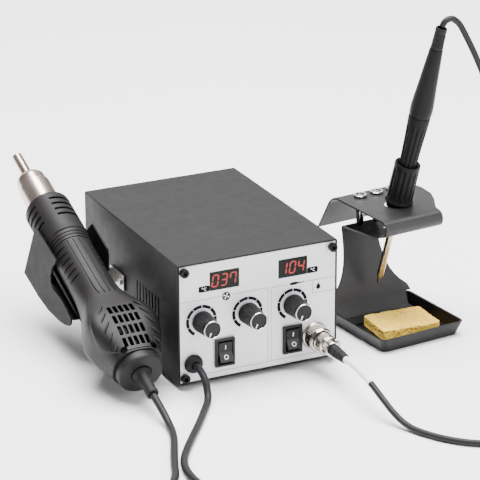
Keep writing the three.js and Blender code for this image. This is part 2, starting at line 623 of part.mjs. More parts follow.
function addSockets(group) {
  const glandZ = onPanel(GLAND_Z);
  const throat = GLAND_RADIUS - 1.8;
  const gland = turnedY([
    [0, 12], [throat, 12], [throat, 0], [GLAND_RADIUS, 0], [GLAND_RADIUS, -2.2],
    [GLAND_RADIUS - 1.4, -GLAND_REACH + 0.4], [GUN_CORD_RADIUS + 0.8, -GLAND_REACH],
    [0, -GLAND_REACH],
  ], 24, GLAND_X, glandZ);
  piece(group, 'cord_gland', gland, RUBBER);

  const socket = turnedY([
    [0, 14], [SOCKET_BODY_RADIUS - 1, 14], [SOCKET_BODY_RADIUS, 12], [SOCKET_BODY_RADIUS, 0],
    [SOCKET_FLANGE_RADIUS, 0], [SOCKET_FLANGE_RADIUS, -2], [SOCKET_NECK_RADIUS, -2],
    [SOCKET_NECK_RADIUS, -SOCKET_REACH], [SOCKET_BORE, -SOCKET_REACH], [SOCKET_BORE, -3], [0, -3],
  ], 24, SOCKET_X, onPanel(SOCKET_Z));
  piece(group, 'iron_socket', socket, CHROME);
}

/** The iron's plug, as it is screwed onto the socket. */
function addPlug(group) {
  const z = onPanel(SOCKET_Z);
  const ringBore = SOCKET_NECK_RADIUS + 0.5;
  const ring = turnedY([
    [ringBore, -2.5], [PLUG_RING_RADIUS, -2.5], [PLUG_RING_RADIUS, -PLUG_RING_END],
    [ringBore, -PLUG_RING_END], [ringBore, -2.5],
  ], 24, SOCKET_X, z);
  piece(group, 'plug_ring', ring, CHROME);

  const plug = turnedY([
    [0, -3.4], [SOCKET_BORE - 0.4, -3.4], [SOCKET_BORE - 0.4, -SOCKET_REACH - 0.6],
    [PLUG_RADIUS, -SOCKET_REACH - 0.6], [PLUG_RADIUS, -22], [PLUG_RADIUS - 1.4, -23],
    [PLUG_RADIUS - 1.4, -PLUG_REACH], [0, -PLUG_REACH],
  ], 24, SOCKET_X, z);
  piece(group, 'iron_plug', plug, CHROME);

  const boot = turnedY([
    [0, -PLUG_REACH - GAP], [5, -PLUG_REACH - GAP], [4.8, -PLUG_REACH - 4],
    [IRON_CORD_RADIUS + 1.1, -PLUG_BOOT_END], [0, -PLUG_BOOT_END],
  ], 20, SOCKET_X, z);
  piece(group, 'plug_boot', boot, RUBBER);
}

// ---------------------------------------------------------------- hot-air gun
/** How far the fan housing swells, 0 at the handle and 1 at its widest. */
function swell(s) {
  const spread = s > HOUSING_CENTRE ? 24 : 26;
  return Math.exp(-(((s - HOUSING_CENTRE) / spread) ** 2));
}

function gunStations(wall) {
  const at = [END_CAP_LENGTH + GAP, 14, 22, 30, HOUSING_CENTRE, 48, 57, 66, 76, 88, 104, 134,
    GUARD_START - GAP];
  return at.map((s, i) => {
    const k = swell(s);
    const flare = i === at.length - 1 ? HANDLE_FLARE : 0;
    const foot = i === 0 ? 0.6 : 0;
    return [
      s,
      HANDLE_RADIUS + (HOUSING_HALF_WIDTH - HANDLE_RADIUS) * k + flare - foot - wall,
      HANDLE_RADIUS + (HOUSING_TOP - HANDLE_RADIUS) * k + flare - wall,
      HANDLE_RADIUS + (HOUSING_BOTTOM - HANDLE_RADIUS) * k + flare - wall,
    ];
  });
}

function addGun(group) {
  const outer = ovalBody(gunStations(0));
  const insideStations = gunStations(GUN_WALL);
  insideStations[0][0] -= 1;
  insideStations[insideStations.length - 1][0] += 1;
  const shell = cut(outer, ovalBody(insideStations));
  const big = 60;
  const above = block(-big, big, -big, 2 * NOZZLE_END, SEAM_LEVEL + GAP / 2, big);
  const below = block(-big, big, -big, 2 * NOZZLE_END, -big, SEAM_LEVEL - GAP / 2);
  const grille = [];
  for (let row = 0; row < 4; row += 1) {
    for (let column = -2; column <= 2; column += 1) {
      const s = 17 + row * 10;
      const x = column * 3.7;
      grille.push(block(x - 1.1, x + 1.1, s - 3.4, s + 3.4, 8, 30));
    }
  }
  piece(group, 'gun_shell_upper', cut(shell.intersect(above), ...grille), GUN_PLASTIC);
  piece(group, 'gun_shell_lower', shell.intersect(below), GUN_PLASTIC);

  const guardBore = GUARD_RADIUS - GUN_WALL;
  const guard = turnedY([
    [HEATER_TUBE_RADIUS + 1, GUARD_START], [GUARD_RADIUS - 0.8, GUARD_START],
    [GUARD_RADIUS, GUARD_START + 3], [GUARD_RADIUS, GUARD_END - 2], [GUARD_RADIUS - 2, GUARD_END],
    [guardBore - 1.4, GUARD_END], [guardBore, GUARD_END - 3], [guardBore, GUARD_START + 2],
    [HEATER_TUBE_RADIUS + 1, GUARD_START + 2], [HEATER_TUBE_RADIUS + 1, GUARD_START],
  ], 32);
  const vents = [];
  for (let row = 0; row < 4; row += 1) {
    const s = GUARD_END - 8 - row * 5.6;
    [-1, 1].forEach((side) => {
      vents.push(block(Math.min(side * 9.5, side * 30), Math.max(side * 9.5, side * 30),
        s - 1.2, s + 1.2, -10, 14));
    });
  }
  piece(group, 'barrel_guard', cut(guard, ...vents), GUN_PLASTIC);

  const tubeBore = HEATER_TUBE_RADIUS - HEATER_TUBE_WALL;
  const tube = turnedY([
    [tubeBore, 112], [HEATER_TUBE_RADIUS, 112], [HEATER_TUBE_RADIUS, NOZZLE_SHOULDER - 6],
    [tubeBore, NOZZLE_SHOULDER - 6], [tubeBore, 112],
  ]);
  piece(group, 'heater_tube', tube, STEEL);
  const core = turnedY([
    [0, 118], [tubeBore - GAP, 118], [tubeBore - GAP, 190], [2, 190], [2, 194], [0, 194],
  ], 20);
  piece(group, 'heater_core', core, CERAMIC);

  const nozzleBore = HEATER_TUBE_RADIUS + GAP;
  const nozzle = turnedY([
    [nozzleBore, NOZZLE_START], [NOZZLE_RADIUS, NOZZLE_START], [NOZZLE_RADIUS, NOZZLE_SHOULDER],
    [NOZZLE_CAP_RADIUS, NOZZLE_SHOULDER + 0.6], [NOZZLE_CAP_RADIUS, NOZZLE_SHOULDER + 7.5],
    [NOZZLE_CAP_RADIUS - 0.8, NOZZLE_SHOULDER + 10], [NOZZLE_CAP_RADIUS - 2.6, NOZZLE_SHOULDER + 12],
    [NOZZLE_CAP_RADIUS - 5, NOZZLE_SHOULDER + 13.2], [NOZZLE_TUBE_RADIUS, NOZZLE_NECK],
    [NOZZLE_TUBE_RADIUS, NOZZLE_END], [NOZZLE_BORE, NOZZLE_END], [NOZZLE_BORE, NOZZLE_NECK - 2],
    [7.4, NOZZLE_SHOULDER + 9.5], [9.4, NOZZLE_SHOULDER + 6], [nozzleBore, NOZZLE_SHOULDER - 3],
    [nozzleBore, NOZZLE_START],
  ]);
  piece(group, 'gun_nozzle', nozzle, STEEL);

  const hub = turnedZ([[0, -3], [6, -3], [6, 9], [0, 9]], 16, 0, HOUSING_CENTRE);
  const fanPlate = turnedZ([[0, -4], [FAN_RADIUS, -4], [FAN_RADIUS, -3], [0, -2.9]], 24, 0,
    HOUSING_CENTRE);
  const vanes = Array.from({ length: 9 }, (_, i) => {
    const vane = new THREE.BoxGeometry(1, 11.5, 11).translate(0, 11, 1.8);
    return solid(vane.rotateZ((i * 2 * Math.PI) / 9).translate(0, HOUSING_CENTRE, 0));
  });
  piece(group, 'gun_fan', join(hub, fanPlate, ...vanes), BLACK_PLASTIC);

  const cap = turnedY([
    [0, 0], [END_CAP_RADIUS - 1, 0], [END_CAP_RADIUS, 1.2], [END_CAP_RADIUS, END_CAP_LENGTH],
    [0, END_CAP_LENGTH],
  ], 32);
  piece(group, 'gun_end_cap', cap, GUN_PLASTIC);
  const boot = turnedY([
    [0, -GAP], [7, -GAP], [6.6, -2.5], [4.6, -8], [3.9, -GUN_BOOT_LENGTH], [0, -GUN_BOOT_LENGTH],
  ], 20);
  piece(group, 'gun_boot', boot, RUBBER);
}

// ---------------------------------------------------------------- cradle
function addCradle(group) {
  const inside = CRADLE_RADIUS;
  const outside = CRADLE_RADIUS + SHEET;
  const mid = (inside + outside) / 2;
  const trough = prismY(
    sheetOutline([[-mid, CRADLE_LIP], ...arc(0, 0, mid, 180, 360, 12), [mid, CRADLE_LIP]]),
    CRADLE_START, CRADLE_END + 8,
  );
  const innerSide = prismX([
    [CRADLE_START - 1, -30], [CRADLE_START - 1, -14], [CRADLE_START + 25, -2.5],
    [CRADLE_START + 34, -6], [CRADLE_START + 38, CRADLE_LIP - 4], [CRADLE_START + 41, CRADLE_LIP],
    [CRADLE_END - 7, CRADLE_LIP], [CRADLE_END, 3.5], [CRADLE_END + 3, -30],
  ], 0, 60);
  const outerSide = prismX([
    [CRADLE_START - 1, -30], [CRADLE_START - 1, -12], [CRADLE_START + 15, -6], [121.9, -4],
    [120, 7.5], [CRADLE_END, 6], [CRADLE_END + 3, -30],
  ], -60, 0.01);
  const flap = prismX(FLAP_OUTLINE, -outside, -inside);
  piece(group, 'cradle', join(trough.intersect(join(innerSide, outerSide)), flap), PAINT);
}

function addCradleBracket(group) {
  // a plated tab between the case side and the inner wing
  const caseSide = -CASE_WIDTH / 2 - GAP;
  const wingSide = GUN_X + CRADLE_RADIUS + SHEET + GAP;
  const z = onPanel(43);
  const tab = join(
    block(caseSide - SHEET, caseSide, 93, 118, z - 6, z + 6),
    block(wingSide, caseSide - SHEET / 2, 112, 112 + SHEET, z - 6, z + 6),
    block(wingSide, wingSide + SHEET, 112, 128, z - 6, z + 6),
    rodX(2.6, caseSide - SHEET - 1.6, caseSide - SHEET + 0.3, 98, z),
  );
  piece(group, 'cradle_bracket', tab, CHROME);
}

function rodX(radius, x0, x1, y, z, segments = 12) {
  const rod = new THREE.CylinderGeometry(radius, radius, x1 - x0, segments).rotateZ(Math.PI / 2);
  return solid(rod.translate((x0 + x1) / 2, y, z));
}

// ---------------------------------------------------------------- iron stand
function addTray(group) {
  const depth = TRAY_BACK - TRAY_FRONT;
  const middle = (TRAY_BACK + TRAY_FRONT) / 2;
  const foot = 2 * TRAY_DRAFT;
  const outer = draftedBlock(TRAY_WIDTH, depth, TRAY_CORNER, 0, TRAY_HEIGHT,
    TRAY_WIDTH - foot, depth - foot, middle);
  const rise = TRAY_HEIGHT - TRAY_FLOOR;
  const shrink = 2 * TRAY_WALL;
  const innerFoot = shrink + foot * (rise / TRAY_HEIGHT);
  const inner = draftedBlock(TRAY_WIDTH - shrink, depth - shrink, TRAY_CORNER - TRAY_WALL,
    TRAY_FLOOR, TRAY_HEIGHT + 0.01, TRAY_WIDTH - innerFoot, depth - innerFoot, middle);
  piece(group, 'stand_tray', cut(outer, inner), BLACK_PLASTIC);

  const outline = roundedRectangle(SPONGE_WIDTH, SPONGE_DEPTH, 3)
    .map(([x, y]) => new THREE.Vector2(x, y).rotateAround(new THREE.Vector2(), SPONGE_TURN))
    .map((p) => [p.x + 0.8, p.y - 4.3]);
  const bottom = TRAY_FLOOR + GAP;
  piece(group, 'sponge', prismZ(outline, bottom, bottom + SPONGE_THICKNESS), SPONGE);
}

/** Half width of the riser at a height: a wide foot, then a waist. */
function riserHalfWidth(h) {
  const rise = Math.max(h - RISER_FOOT_H - 3, 0);
  return WAIST_HALF_WIDTH + (RISER_HALF_WIDTH - WAIST_HALF_WIDTH) * Math.exp(-rise / 14);
}

function addBracket(group) {
  const wide = 60;
  const flangeH = TRAY_FLOOR + GAP + SHEET / 2;
  const flangeLine = [[17, flangeH], [RISER_FOOT_V - 6.8, flangeH], [RISER_FOOT_V, RISER_FOOT_H]];
  const riserLine = [
    [RISER_FOOT_V - 0.5, RISER_FOOT_H - 0.6], [RISER_FOOT_V, RISER_FOOT_H],
    [RISER_TOP_V - 0.5, RISER_TOP_H - 2], [RISER_TOP_V - 0.4, RISER_TOP_H - 0.9],
    [RISER_TOP_V - 1.2, RISER_TOP_H + 0.2],
  ];
  const lowerLine = [
    [RISER_TOP_V - 1, RISER_TOP_H - 0.1], [RISER_TOP_V - 3, RISER_TOP_H + 0.5], [-2, 77.4],
    [-5.6, 78.4], [-10, 80.4],
    ...arc(NOSE_CENTRE_V, HEAD_TOP - NOSE_RADIUS, NOSE_RADIUS, 242, 200, 3),
  ];
  const topLine = [
    ...arc(NOSE_CENTRE_V, HEAD_TOP - NOSE_RADIUS, NOSE_RADIUS, 201, 90, 8),
    [43, HEAD_TOP],
    ...arc(43, HEAD_TOP - 14, 14, 80, 28, 4),
    [68.5, 64],
  ];
  const flange = prismX(sheetOutline(flangeLine), -wide, wide);
  const riser = prismX(sheetOutline(riserLine), -wide, wide);
  const lower = prismX(sheetOutline(lowerLine), -wide, wide);
  const top = prismX(sheetOutline(topLine), -wide, wide);

  const flangeHalf = TRAY_WIDTH / 2 - TRAY_WALL - TRAY_DRAFT - GAP;
  const flangeMask = prismZ([
    [-flangeHalf, 10], [flangeHalf, 10], [flangeHalf, RISER_FOOT_V - 6.8],
    [TRAY_WIDTH / 2 - 4.5, RISER_FOOT_V - 1.2], [TRAY_WIDTH / 2 - 4.5, 60],
    [-TRAY_WIDTH / 2 + 4.5, 60], [-TRAY_WIDTH / 2 + 4.5, RISER_FOOT_V - 1.2],
    [-flangeHalf, RISER_FOOT_V - 6.8],
  ], 0, 30);

  const levels = Array.from({ length: 13 }, (_, i) =>
    RISER_FOOT_H + ((RISER_TOP_H - RISER_FOOT_H) * i) / 12);
  const edge = levels.map((h) => [riserHalfWidth(h), h]);
  const riserMask = prismY([
    [-RISER_HALF_WIDTH, RISER_FOOT_H - 0.75], [RISER_HALF_WIDTH, RISER_FOOT_H - 0.75],
    ...edge, [WAIST_HALF_WIDTH, 100], [-WAIST_HALF_WIDTH, 100],
    ...edge.map(([u, h]) => [-u, h]).reverse(),
  ], -wide, 2 * wide);

  const lowerMask = prismZ([
    [-WAIST_HALF_WIDTH, 60], [-WAIST_HALF_WIDTH, RISER_TOP_V], [-HEAD_HALF_WIDTH, -6],
    [-HEAD_HALF_WIDTH, -30], [HEAD_HALF_WIDTH, -30], [HEAD_HALF_WIDTH, -6],
    [WAIST_HALF_WIDTH, RISER_TOP_V], [WAIST_HALF_WIDTH, 60],
  ], 0, 120);

  const flare = HEAD_HALF_WIDTH + 17;
  const topMask = prismZ([
    [-HEAD_HALF_WIDTH, 90], [-HEAD_HALF_WIDTH, -30], [HEAD_HALF_WIDTH, -30],
    [HEAD_HALF_WIDTH, NOSE_CENTRE_V + 1], [HEAD_HALF_WIDTH + 1.5, -8], [34.5, 5], [40, 17],
    ...arc(flare - 14, 31, 14, -10, 70, 5), [HEAD_HALF_WIDTH, 48], [HEAD_HALF_WIDTH, 90],
  ].reverse(), 0, 120);

  const funnelHole = solid(
    new THREE.CylinderGeometry(FUNNEL_FOOT_RADIUS + 1.1, FUNNEL_FOOT_RADIUS + 1.1, 12, 24)
      .rotateX(Math.PI / 2)
      .translate(IRON_BASE.x - 0.2, IRON_BASE.y + 0.6, HEAD_TOP),
  );
  const barrelAt = IRON_BASE.clone().addScaledVector(IRON_LEAN, -21);
  const barrelSlot = prismZ(
    roundedRectangle(11, 16, 5, barrelAt.x, barrelAt.y, 4), 60, HEAD_TOP - NOSE_RADIUS - 4,
  );
  const tipHoles = SPARE_TIPS.map((u) =>
    rodZ(SPARE_SHANK_RADIUS + GAP, HEAD_TOP - 5, HEAD_TOP + 5, u, SPARE_TIP_V, 16));

  const sheet = join(
    flange.intersect(flangeMask), riser.intersect(riserMask), lower.intersect(lowerMask),
    top.intersect(topMask),
  );
  piece(group, 'stand_bracket', cut(sheet, funnelHole, barrelSlot, ...tipHoles), PAINT);

  SPARE_TIPS.forEach((u, i) => {
    const seat = HEAD_TOP + SHEET / 2 + GAP;
    const tip = turnedZ([
      [0, HEAD_TOP - 22], [0.8, HEAD_TOP - 21.5], [SPARE_SHANK_RADIUS, HEAD_TOP - 15],
      [SPARE_SHANK_RADIUS, seat], [SPARE_RIM_RADIUS, seat], [SPARE_RIM_RADIUS, seat + 1.6],
      [1.5, seat + 1.6], [1.5, seat - 6], [0, seat - 6],
    ], 20, u, SPARE_TIP_V);
    piece(group, `spare_tip_${i + 1}`, tip, CHROME);
  });
}

function addFunnelAndIron(group) {
  const axis = new THREE.Group();
  axis.position.copy(IRON_BASE);
  axis.quaternion.setFromUnitVectors(new THREE.Vector3(0, 0, 1), IRON_LEAN);
  group.add(axis);

  const funnel = turnedZ([
    [FUNNEL_BORE, -4.5], [FUNNEL_FOOT_RADIUS - 0.6, -4.5], [FUNNEL_FOOT_RADIUS - 0.6, 0],
    [FUNNEL_FLANGE_RADIUS, 0], [FUNNEL_FLANGE_RADIUS, 1.4], [FUNNEL_FOOT_RADIUS, 2.4],
    [FUNNEL_TOP_RADIUS - 0.3, 20], [FUNNEL_TOP_RADIUS, FUNNEL_HEIGHT],
    [FUNNEL_BORE, FUNNEL_HEIGHT], [FUNNEL_BORE, -4.5],
  ]);
  piece(axis, 'stand_funnel', funnel, BLACK_PLASTIC);

  const grip = turnedZ([
    [0, GRIP_START], [GRIP_RADIUS - 2, GRIP_START], [GRIP_RADIUS - 0.6, GRIP_START + 3],
    [GRIP_RADIUS - 0.4, FUNNEL_HEIGHT], [GRIP_RADIUS, GRIP_END - 25],
    [GRIP_TOP_RADIUS, GRIP_END - 2], [GRIP_TOP_RADIUS - 0.1, GRIP_END],
    [0, GRIP_END],
  ]);
  piece(axis, 'iron_grip', grip, RUBBER);
  const handle = turnedZ([
    [0, GRIP_END + GAP], [GRIP_TOP_RADIUS, GRIP_END + GAP], [BULGE_RADIUS, GRIP_END + 5],
    [BULGE_RADIUS, GRIP_END + 8], [BULGE_RADIUS - 0.6, GRIP_END + 16], [5.6, HANDLE_END - 12],
    [HANDLE_END_RADIUS, HANDLE_END], [0, HANDLE_END],
  ]);
  piece(axis, 'iron_handle', handle, BLACK_PLASTIC);
  const boot = turnedZ([
    [0, HANDLE_END + GAP], [HANDLE_END_RADIUS - 0.2, HANDLE_END + GAP], [4.1, IRON_BOOT_END - 2],
    [3.6, IRON_BOOT_END], [0, IRON_BOOT_END],
  ], 20);
  piece(axis, 'iron_boot', boot, RUBBER);
  const bore = SLEEVE_RADIUS - 0.5;
  const sleeve = turnedZ([
    [0, GRIP_START - GAP], [SLEEVE_RADIUS + 1.5, GRIP_START - GAP],
    [SLEEVE_RADIUS + 1.5, GRIP_START - 8], [SLEEVE_RADIUS, GRIP_START - 10],
    [SLEEVE_RADIUS, SLEEVE_END], [bore, SLEEVE_END], [bore, SLEEVE_END + 16],
    [0, SLEEVE_END + 16],
  ], 20);
  piece(axis, 'iron_sleeve', sleeve, BRASS);
  const tip = turnedZ([
    [0, TIP_END], [0.5, TIP_END + 0.3], [bore - GAP, TIP_END + 6], [bore - GAP, SLEEVE_END + 14],
    [0, SLEEVE_END + 14],
  ], 16);
  piece(axis, 'iron_tip', tip, STEEL);
  return axis;
}

// ---------------------------------------------------------------- cords
function addCoil(group, name, coil) {
  const ring = turnedZ([
    [coil.inner, 0.2], [coil.outer, 0.2], [coil.outer, coil.height], [coil.inner, coil.height],
    [coil.inner, 0.2],
  ], 28, coil.x, coil.y);
  piece(group, name, ring, CORD);
}

function addCords(group) {
  addCoil(group, 'gun_cord_coil', GUN_COIL);
  addCoil(group, 'iron_cord_coil', IRON_COIL);
  piece(group, 'gun_cord_panel', cordTube(GUN_CORD_PANEL, GUN_CORD_RADIUS, 17), CORD);
  piece(group, 'gun_cord_handle', cordTube(GUN_CORD_HANDLE, GUN_CORD_RADIUS, 15), CORD);
  piece(group, 'iron_cord_handle', cordTube(IRON_CORD_HANDLE, IRON_CORD_RADIUS, 38), CORD);
  piece(group, 'iron_cord_plug', cordTube(IRON_CORD_PLUG, IRON_CORD_RADIUS, 16), CORD);
}

// ---------------------------------------------------------------- assembly
const station = new THREE.Group();
addCase(station);
addInside(station);
addControls(station);
addSockets(station);
addCradleBracket(station);

const gun = new THREE.Group();
gun.position.set(GUN_X, GUN_Y, GUN_Z);
gun.rotation.x = GUN_SLOPE;
station.add(gun);
addGun(gun);
addCradle(gun);

const stand = new THREE.Group();
stand.position.set(STAND_X, STAND_Y, 0);
stand.rotation.z = STAND_TURN;
station.add(stand);
addTray(stand);
addBracket(stand);
addFunnelAndIron(stand);

// the origin is under the middle of the station, its cords and their plug left out
const bare = new THREE.Box3().setFromObject(station, true);
addPlug(station);
addCords(station);
const middle = bare.getCenter(new THREE.Vector3());
station.position.set(-middle.x, -middle.y, 0);

export default station;
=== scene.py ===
"""A hot-air and soldering iron station, modelled over its CAD frame. Lengths are in millimetres
until a piece is placed, and in metres after that."""

import json
import math

import bmesh
import bpy
from mathutils import Matrix, Vector, noise


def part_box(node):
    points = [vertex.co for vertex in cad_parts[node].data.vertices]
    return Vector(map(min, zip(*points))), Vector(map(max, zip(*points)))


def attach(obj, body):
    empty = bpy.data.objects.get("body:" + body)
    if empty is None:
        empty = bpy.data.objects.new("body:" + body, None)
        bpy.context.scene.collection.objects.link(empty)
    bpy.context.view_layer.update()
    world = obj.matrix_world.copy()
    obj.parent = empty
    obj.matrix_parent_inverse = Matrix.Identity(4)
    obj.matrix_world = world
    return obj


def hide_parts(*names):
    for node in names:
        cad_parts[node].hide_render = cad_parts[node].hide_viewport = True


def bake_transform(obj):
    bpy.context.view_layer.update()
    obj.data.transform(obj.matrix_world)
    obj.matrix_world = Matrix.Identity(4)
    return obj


bl_info = {
    "name": "Soldering Station",
    "version": (1, 0, 0),
    "blender": (4, 5, 0),
    "location": "3D View > Sidebar > Station",
    "description": "Builds a hot-air and soldering iron station piece by piece",
    "category": "Object",
}

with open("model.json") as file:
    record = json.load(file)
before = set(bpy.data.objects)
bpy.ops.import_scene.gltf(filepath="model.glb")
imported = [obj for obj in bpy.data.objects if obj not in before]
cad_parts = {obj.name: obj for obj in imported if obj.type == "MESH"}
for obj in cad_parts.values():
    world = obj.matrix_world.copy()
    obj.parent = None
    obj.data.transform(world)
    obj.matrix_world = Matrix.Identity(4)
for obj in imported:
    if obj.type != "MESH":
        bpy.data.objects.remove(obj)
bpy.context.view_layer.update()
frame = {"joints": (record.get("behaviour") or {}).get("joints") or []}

MM = 0.001

# camera, light and floor
SENSOR_WIDTH = 36
CAMERA_PLACE = (-696.05, -1443.23, 710.78)  # from the middle of the case's front edge
CAMERA_NEAR, CAMERA_FAR = 0.05, 20
FLOOR_HALF = 30
FLOOR_LEVEL = -0.0001
SKY_STRENGTH = 0.28
LIGHT_AIM = (0, 0, 0.06)
LIGHTS = (  # name, place, size and power
    ("top_soft", (0.1, 0.1, 1.9), (1.8, 1.6), 190),
    ("back_soft", (0.45, 2.4, 1.15), (2.6, 1.1), 20),
    ("front_soft", (0.75, -1.35, 0.75), (0.9, 0.9), 20),
)

# ------------------------------------------------------------------ places, from the frame
COVER_LOW, COVER_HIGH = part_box("top_cover")
PANEL_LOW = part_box("front_panel")[0]
PANEL_DEPTH = (PANEL_LOW.y - COVER_LOW.y) / MM
CASE = Matrix.Translation(((COVER_LOW.x + COVER_HIGH.x) / 2, COVER_LOW.y, COVER_LOW.z))
JOINTS = {joint["name"]: joint for joint in frame["joints"]}
GUN_AXIS = Vector(JOINTS["nozzle_slide"]["axis"]).normalized()
GUN_SLOPE = math.asin(GUN_AXIS.z)
FAN_STATION = 39  # along the gun from its end cap
NOZZLE_FOOT, NOZZLE_LENGTH = 186, 61  # along the gun
SLEEVE_FOOT, SLEEVE_TINT = -66, 72  # along the iron, and how far its colours run
GUN = (
    Matrix.Translation(Vector(JOINTS["fan_spin"]["pos_m"]) - GUN_AXIS * FAN_STATION * MM)
    @ Matrix.Rotation(GUN_SLOPE, 4, "X")
)
STAND_TURN = math.radians(6.3)
STAND_BACK = -2.1  # from the tray's middle to the stand's own, along Y
FUNNEL_MOUTH = (6.4, 10.3, 96.25)  # the iron's foot, in the stand's frame
TRAY_LOW, TRAY_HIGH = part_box("stand_tray")
TRAY_MIDDLE = Vector(((TRAY_LOW.x + TRAY_HIGH.x) / 2, (TRAY_LOW.y + TRAY_HIGH.y) / 2, 0))
STAND = (
    Matrix.Translation(TRAY_MIDDLE)
    @ Matrix.Rotation(STAND_TURN, 4, "Z")
    @ Matrix.Translation((0, STAND_BACK * MM, 0))
)
IRON_AXIS = Vector(JOINTS["iron_lift"]["axis"]).normalized()
IRON = (
    Matrix.Translation(STAND @ (Vector(FUNNEL_MOUTH) * MM))
    @ Vector((0, 0, 1)).rotation_difference(IRON_AXIS).to_matrix().to_4x4()
)


def at(x, y, z):
    """A shift in millimetres."""
    return Matrix.Translation(Vector((x, y, z)) * MM)


def on_panel(x, z, out=0.0):
    """The frame of a piece on the front panel: its Z points out of the panel and its Y up."""
    return CASE @ at(x, PANEL_DEPTH - out, z) @ Matrix.Rotation(math.radians(90), 4, "X")


ALONG_GUN = GUN @ Matrix.Rotation(math.radians(-90), 4, "X")  # Z runs along the gun, Y points down


# ------------------------------------------------------------------ settings
def length(name, text, value):
    """A length property whose value is in metres."""
    return bpy.props.FloatProperty(
        name=name, description=text, default=value, min=0, subtype="DISTANCE", unit="LENGTH", precision=4
    )


def colour(name, text, value):
    """A colour property."""
    return bpy.props.FloatVectorProperty(
        name=name, description=text, default=value, size=3, min=0, max=1, subtype="COLOR"
    )


class StationSizes(bpy.types.PropertyGroup):
    """Sizes that a user would change."""

    edge: length("Edge", "Rounding of the sheet metal's edges", 0.0003)
    print_thickness: length("Print", "Thickness of the ink on the panel", 0.00006)
    knob_flutes: bpy.props.IntProperty(
        name="Knob flutes", description="Flutes round each knob", default=30, min=8, max=80
    )
    knob_ring: length("Knob ring", "Width of the plated ring at a knob's face", 0.0006)
    digit_height: length("Digits", "Height of the display's digits", 0.0094)
    gun_cord: length("Hot-air cord", "Diameter of the hot-air gun's cord", 0.0052)
    iron_cord: length("Iron cord", "Diameter of the iron's cord", 0.0045)
    sponge_pore: length("Sponge pore", "Size of the sponge's larger pores", 0.0021)


class StationColours(bpy.types.PropertyGroup):
    """Colours that a user would change."""

    cover: colour("Cover", "Powder coat of the case and the sheet metal", (0.009, 0.008, 0.0085))
    panel: colour("Panel", "Satin paint of the front panel", (0.66, 0.665, 0.69))
    ink: colour("Ink", "Printed lines and scales", (0.006, 0.006, 0.008))
    plastic: colour("Gun plastic", "Moulded plastic of the hot-air gun", (0.01, 0.0088, 0.0098))
    handle: colour("Handle", "Moulded plastic of the iron", (0.01, 0.009, 0.01))
    rubber: colour("Rubber", "Boots, gland and feet", (0.009, 0.009, 0.0095))
    cord: colour("Cord", "Jacket of the cords", (0.013, 0.013, 0.0145))
    sponge: colour("Sponge", "Cellulose sponge", (0.95, 0.6, 0.08))
    digits: colour("Digits", "Glow of the display's digits", (0.9, 0.0, 0.002))


class StationStage(bpy.types.PropertyGroup):
    """Camera, light and floor."""

    azimuth: bpy.props.FloatProperty(
        name="Azimuth", description="Camera's turn round the station", default=math.radians(-25.292),
        subtype="ANGLE", unit="ROTATION",
    )
    elevation: bpy.props.FloatProperty(
        name="Elevation", description="Camera's height above the horizon", default=math.radians(20.923),
        subtype="ANGLE", unit="ROTATION",
    )
    roll: bpy.props.FloatProperty(
        name="Roll", description="Camera's tilt", default=math.radians(-0.234),
        subtype="ANGLE", unit="ROTATION",
    )
    lens: bpy.props.FloatProperty(
        name="Lens", description="Focal length", default=186.93, min=1, unit="CAMERA"
    )
    brightness: bpy.props.FloatProperty(
        name="Brightness", description="Strength of the studio light", default=1.0, min=0
    )


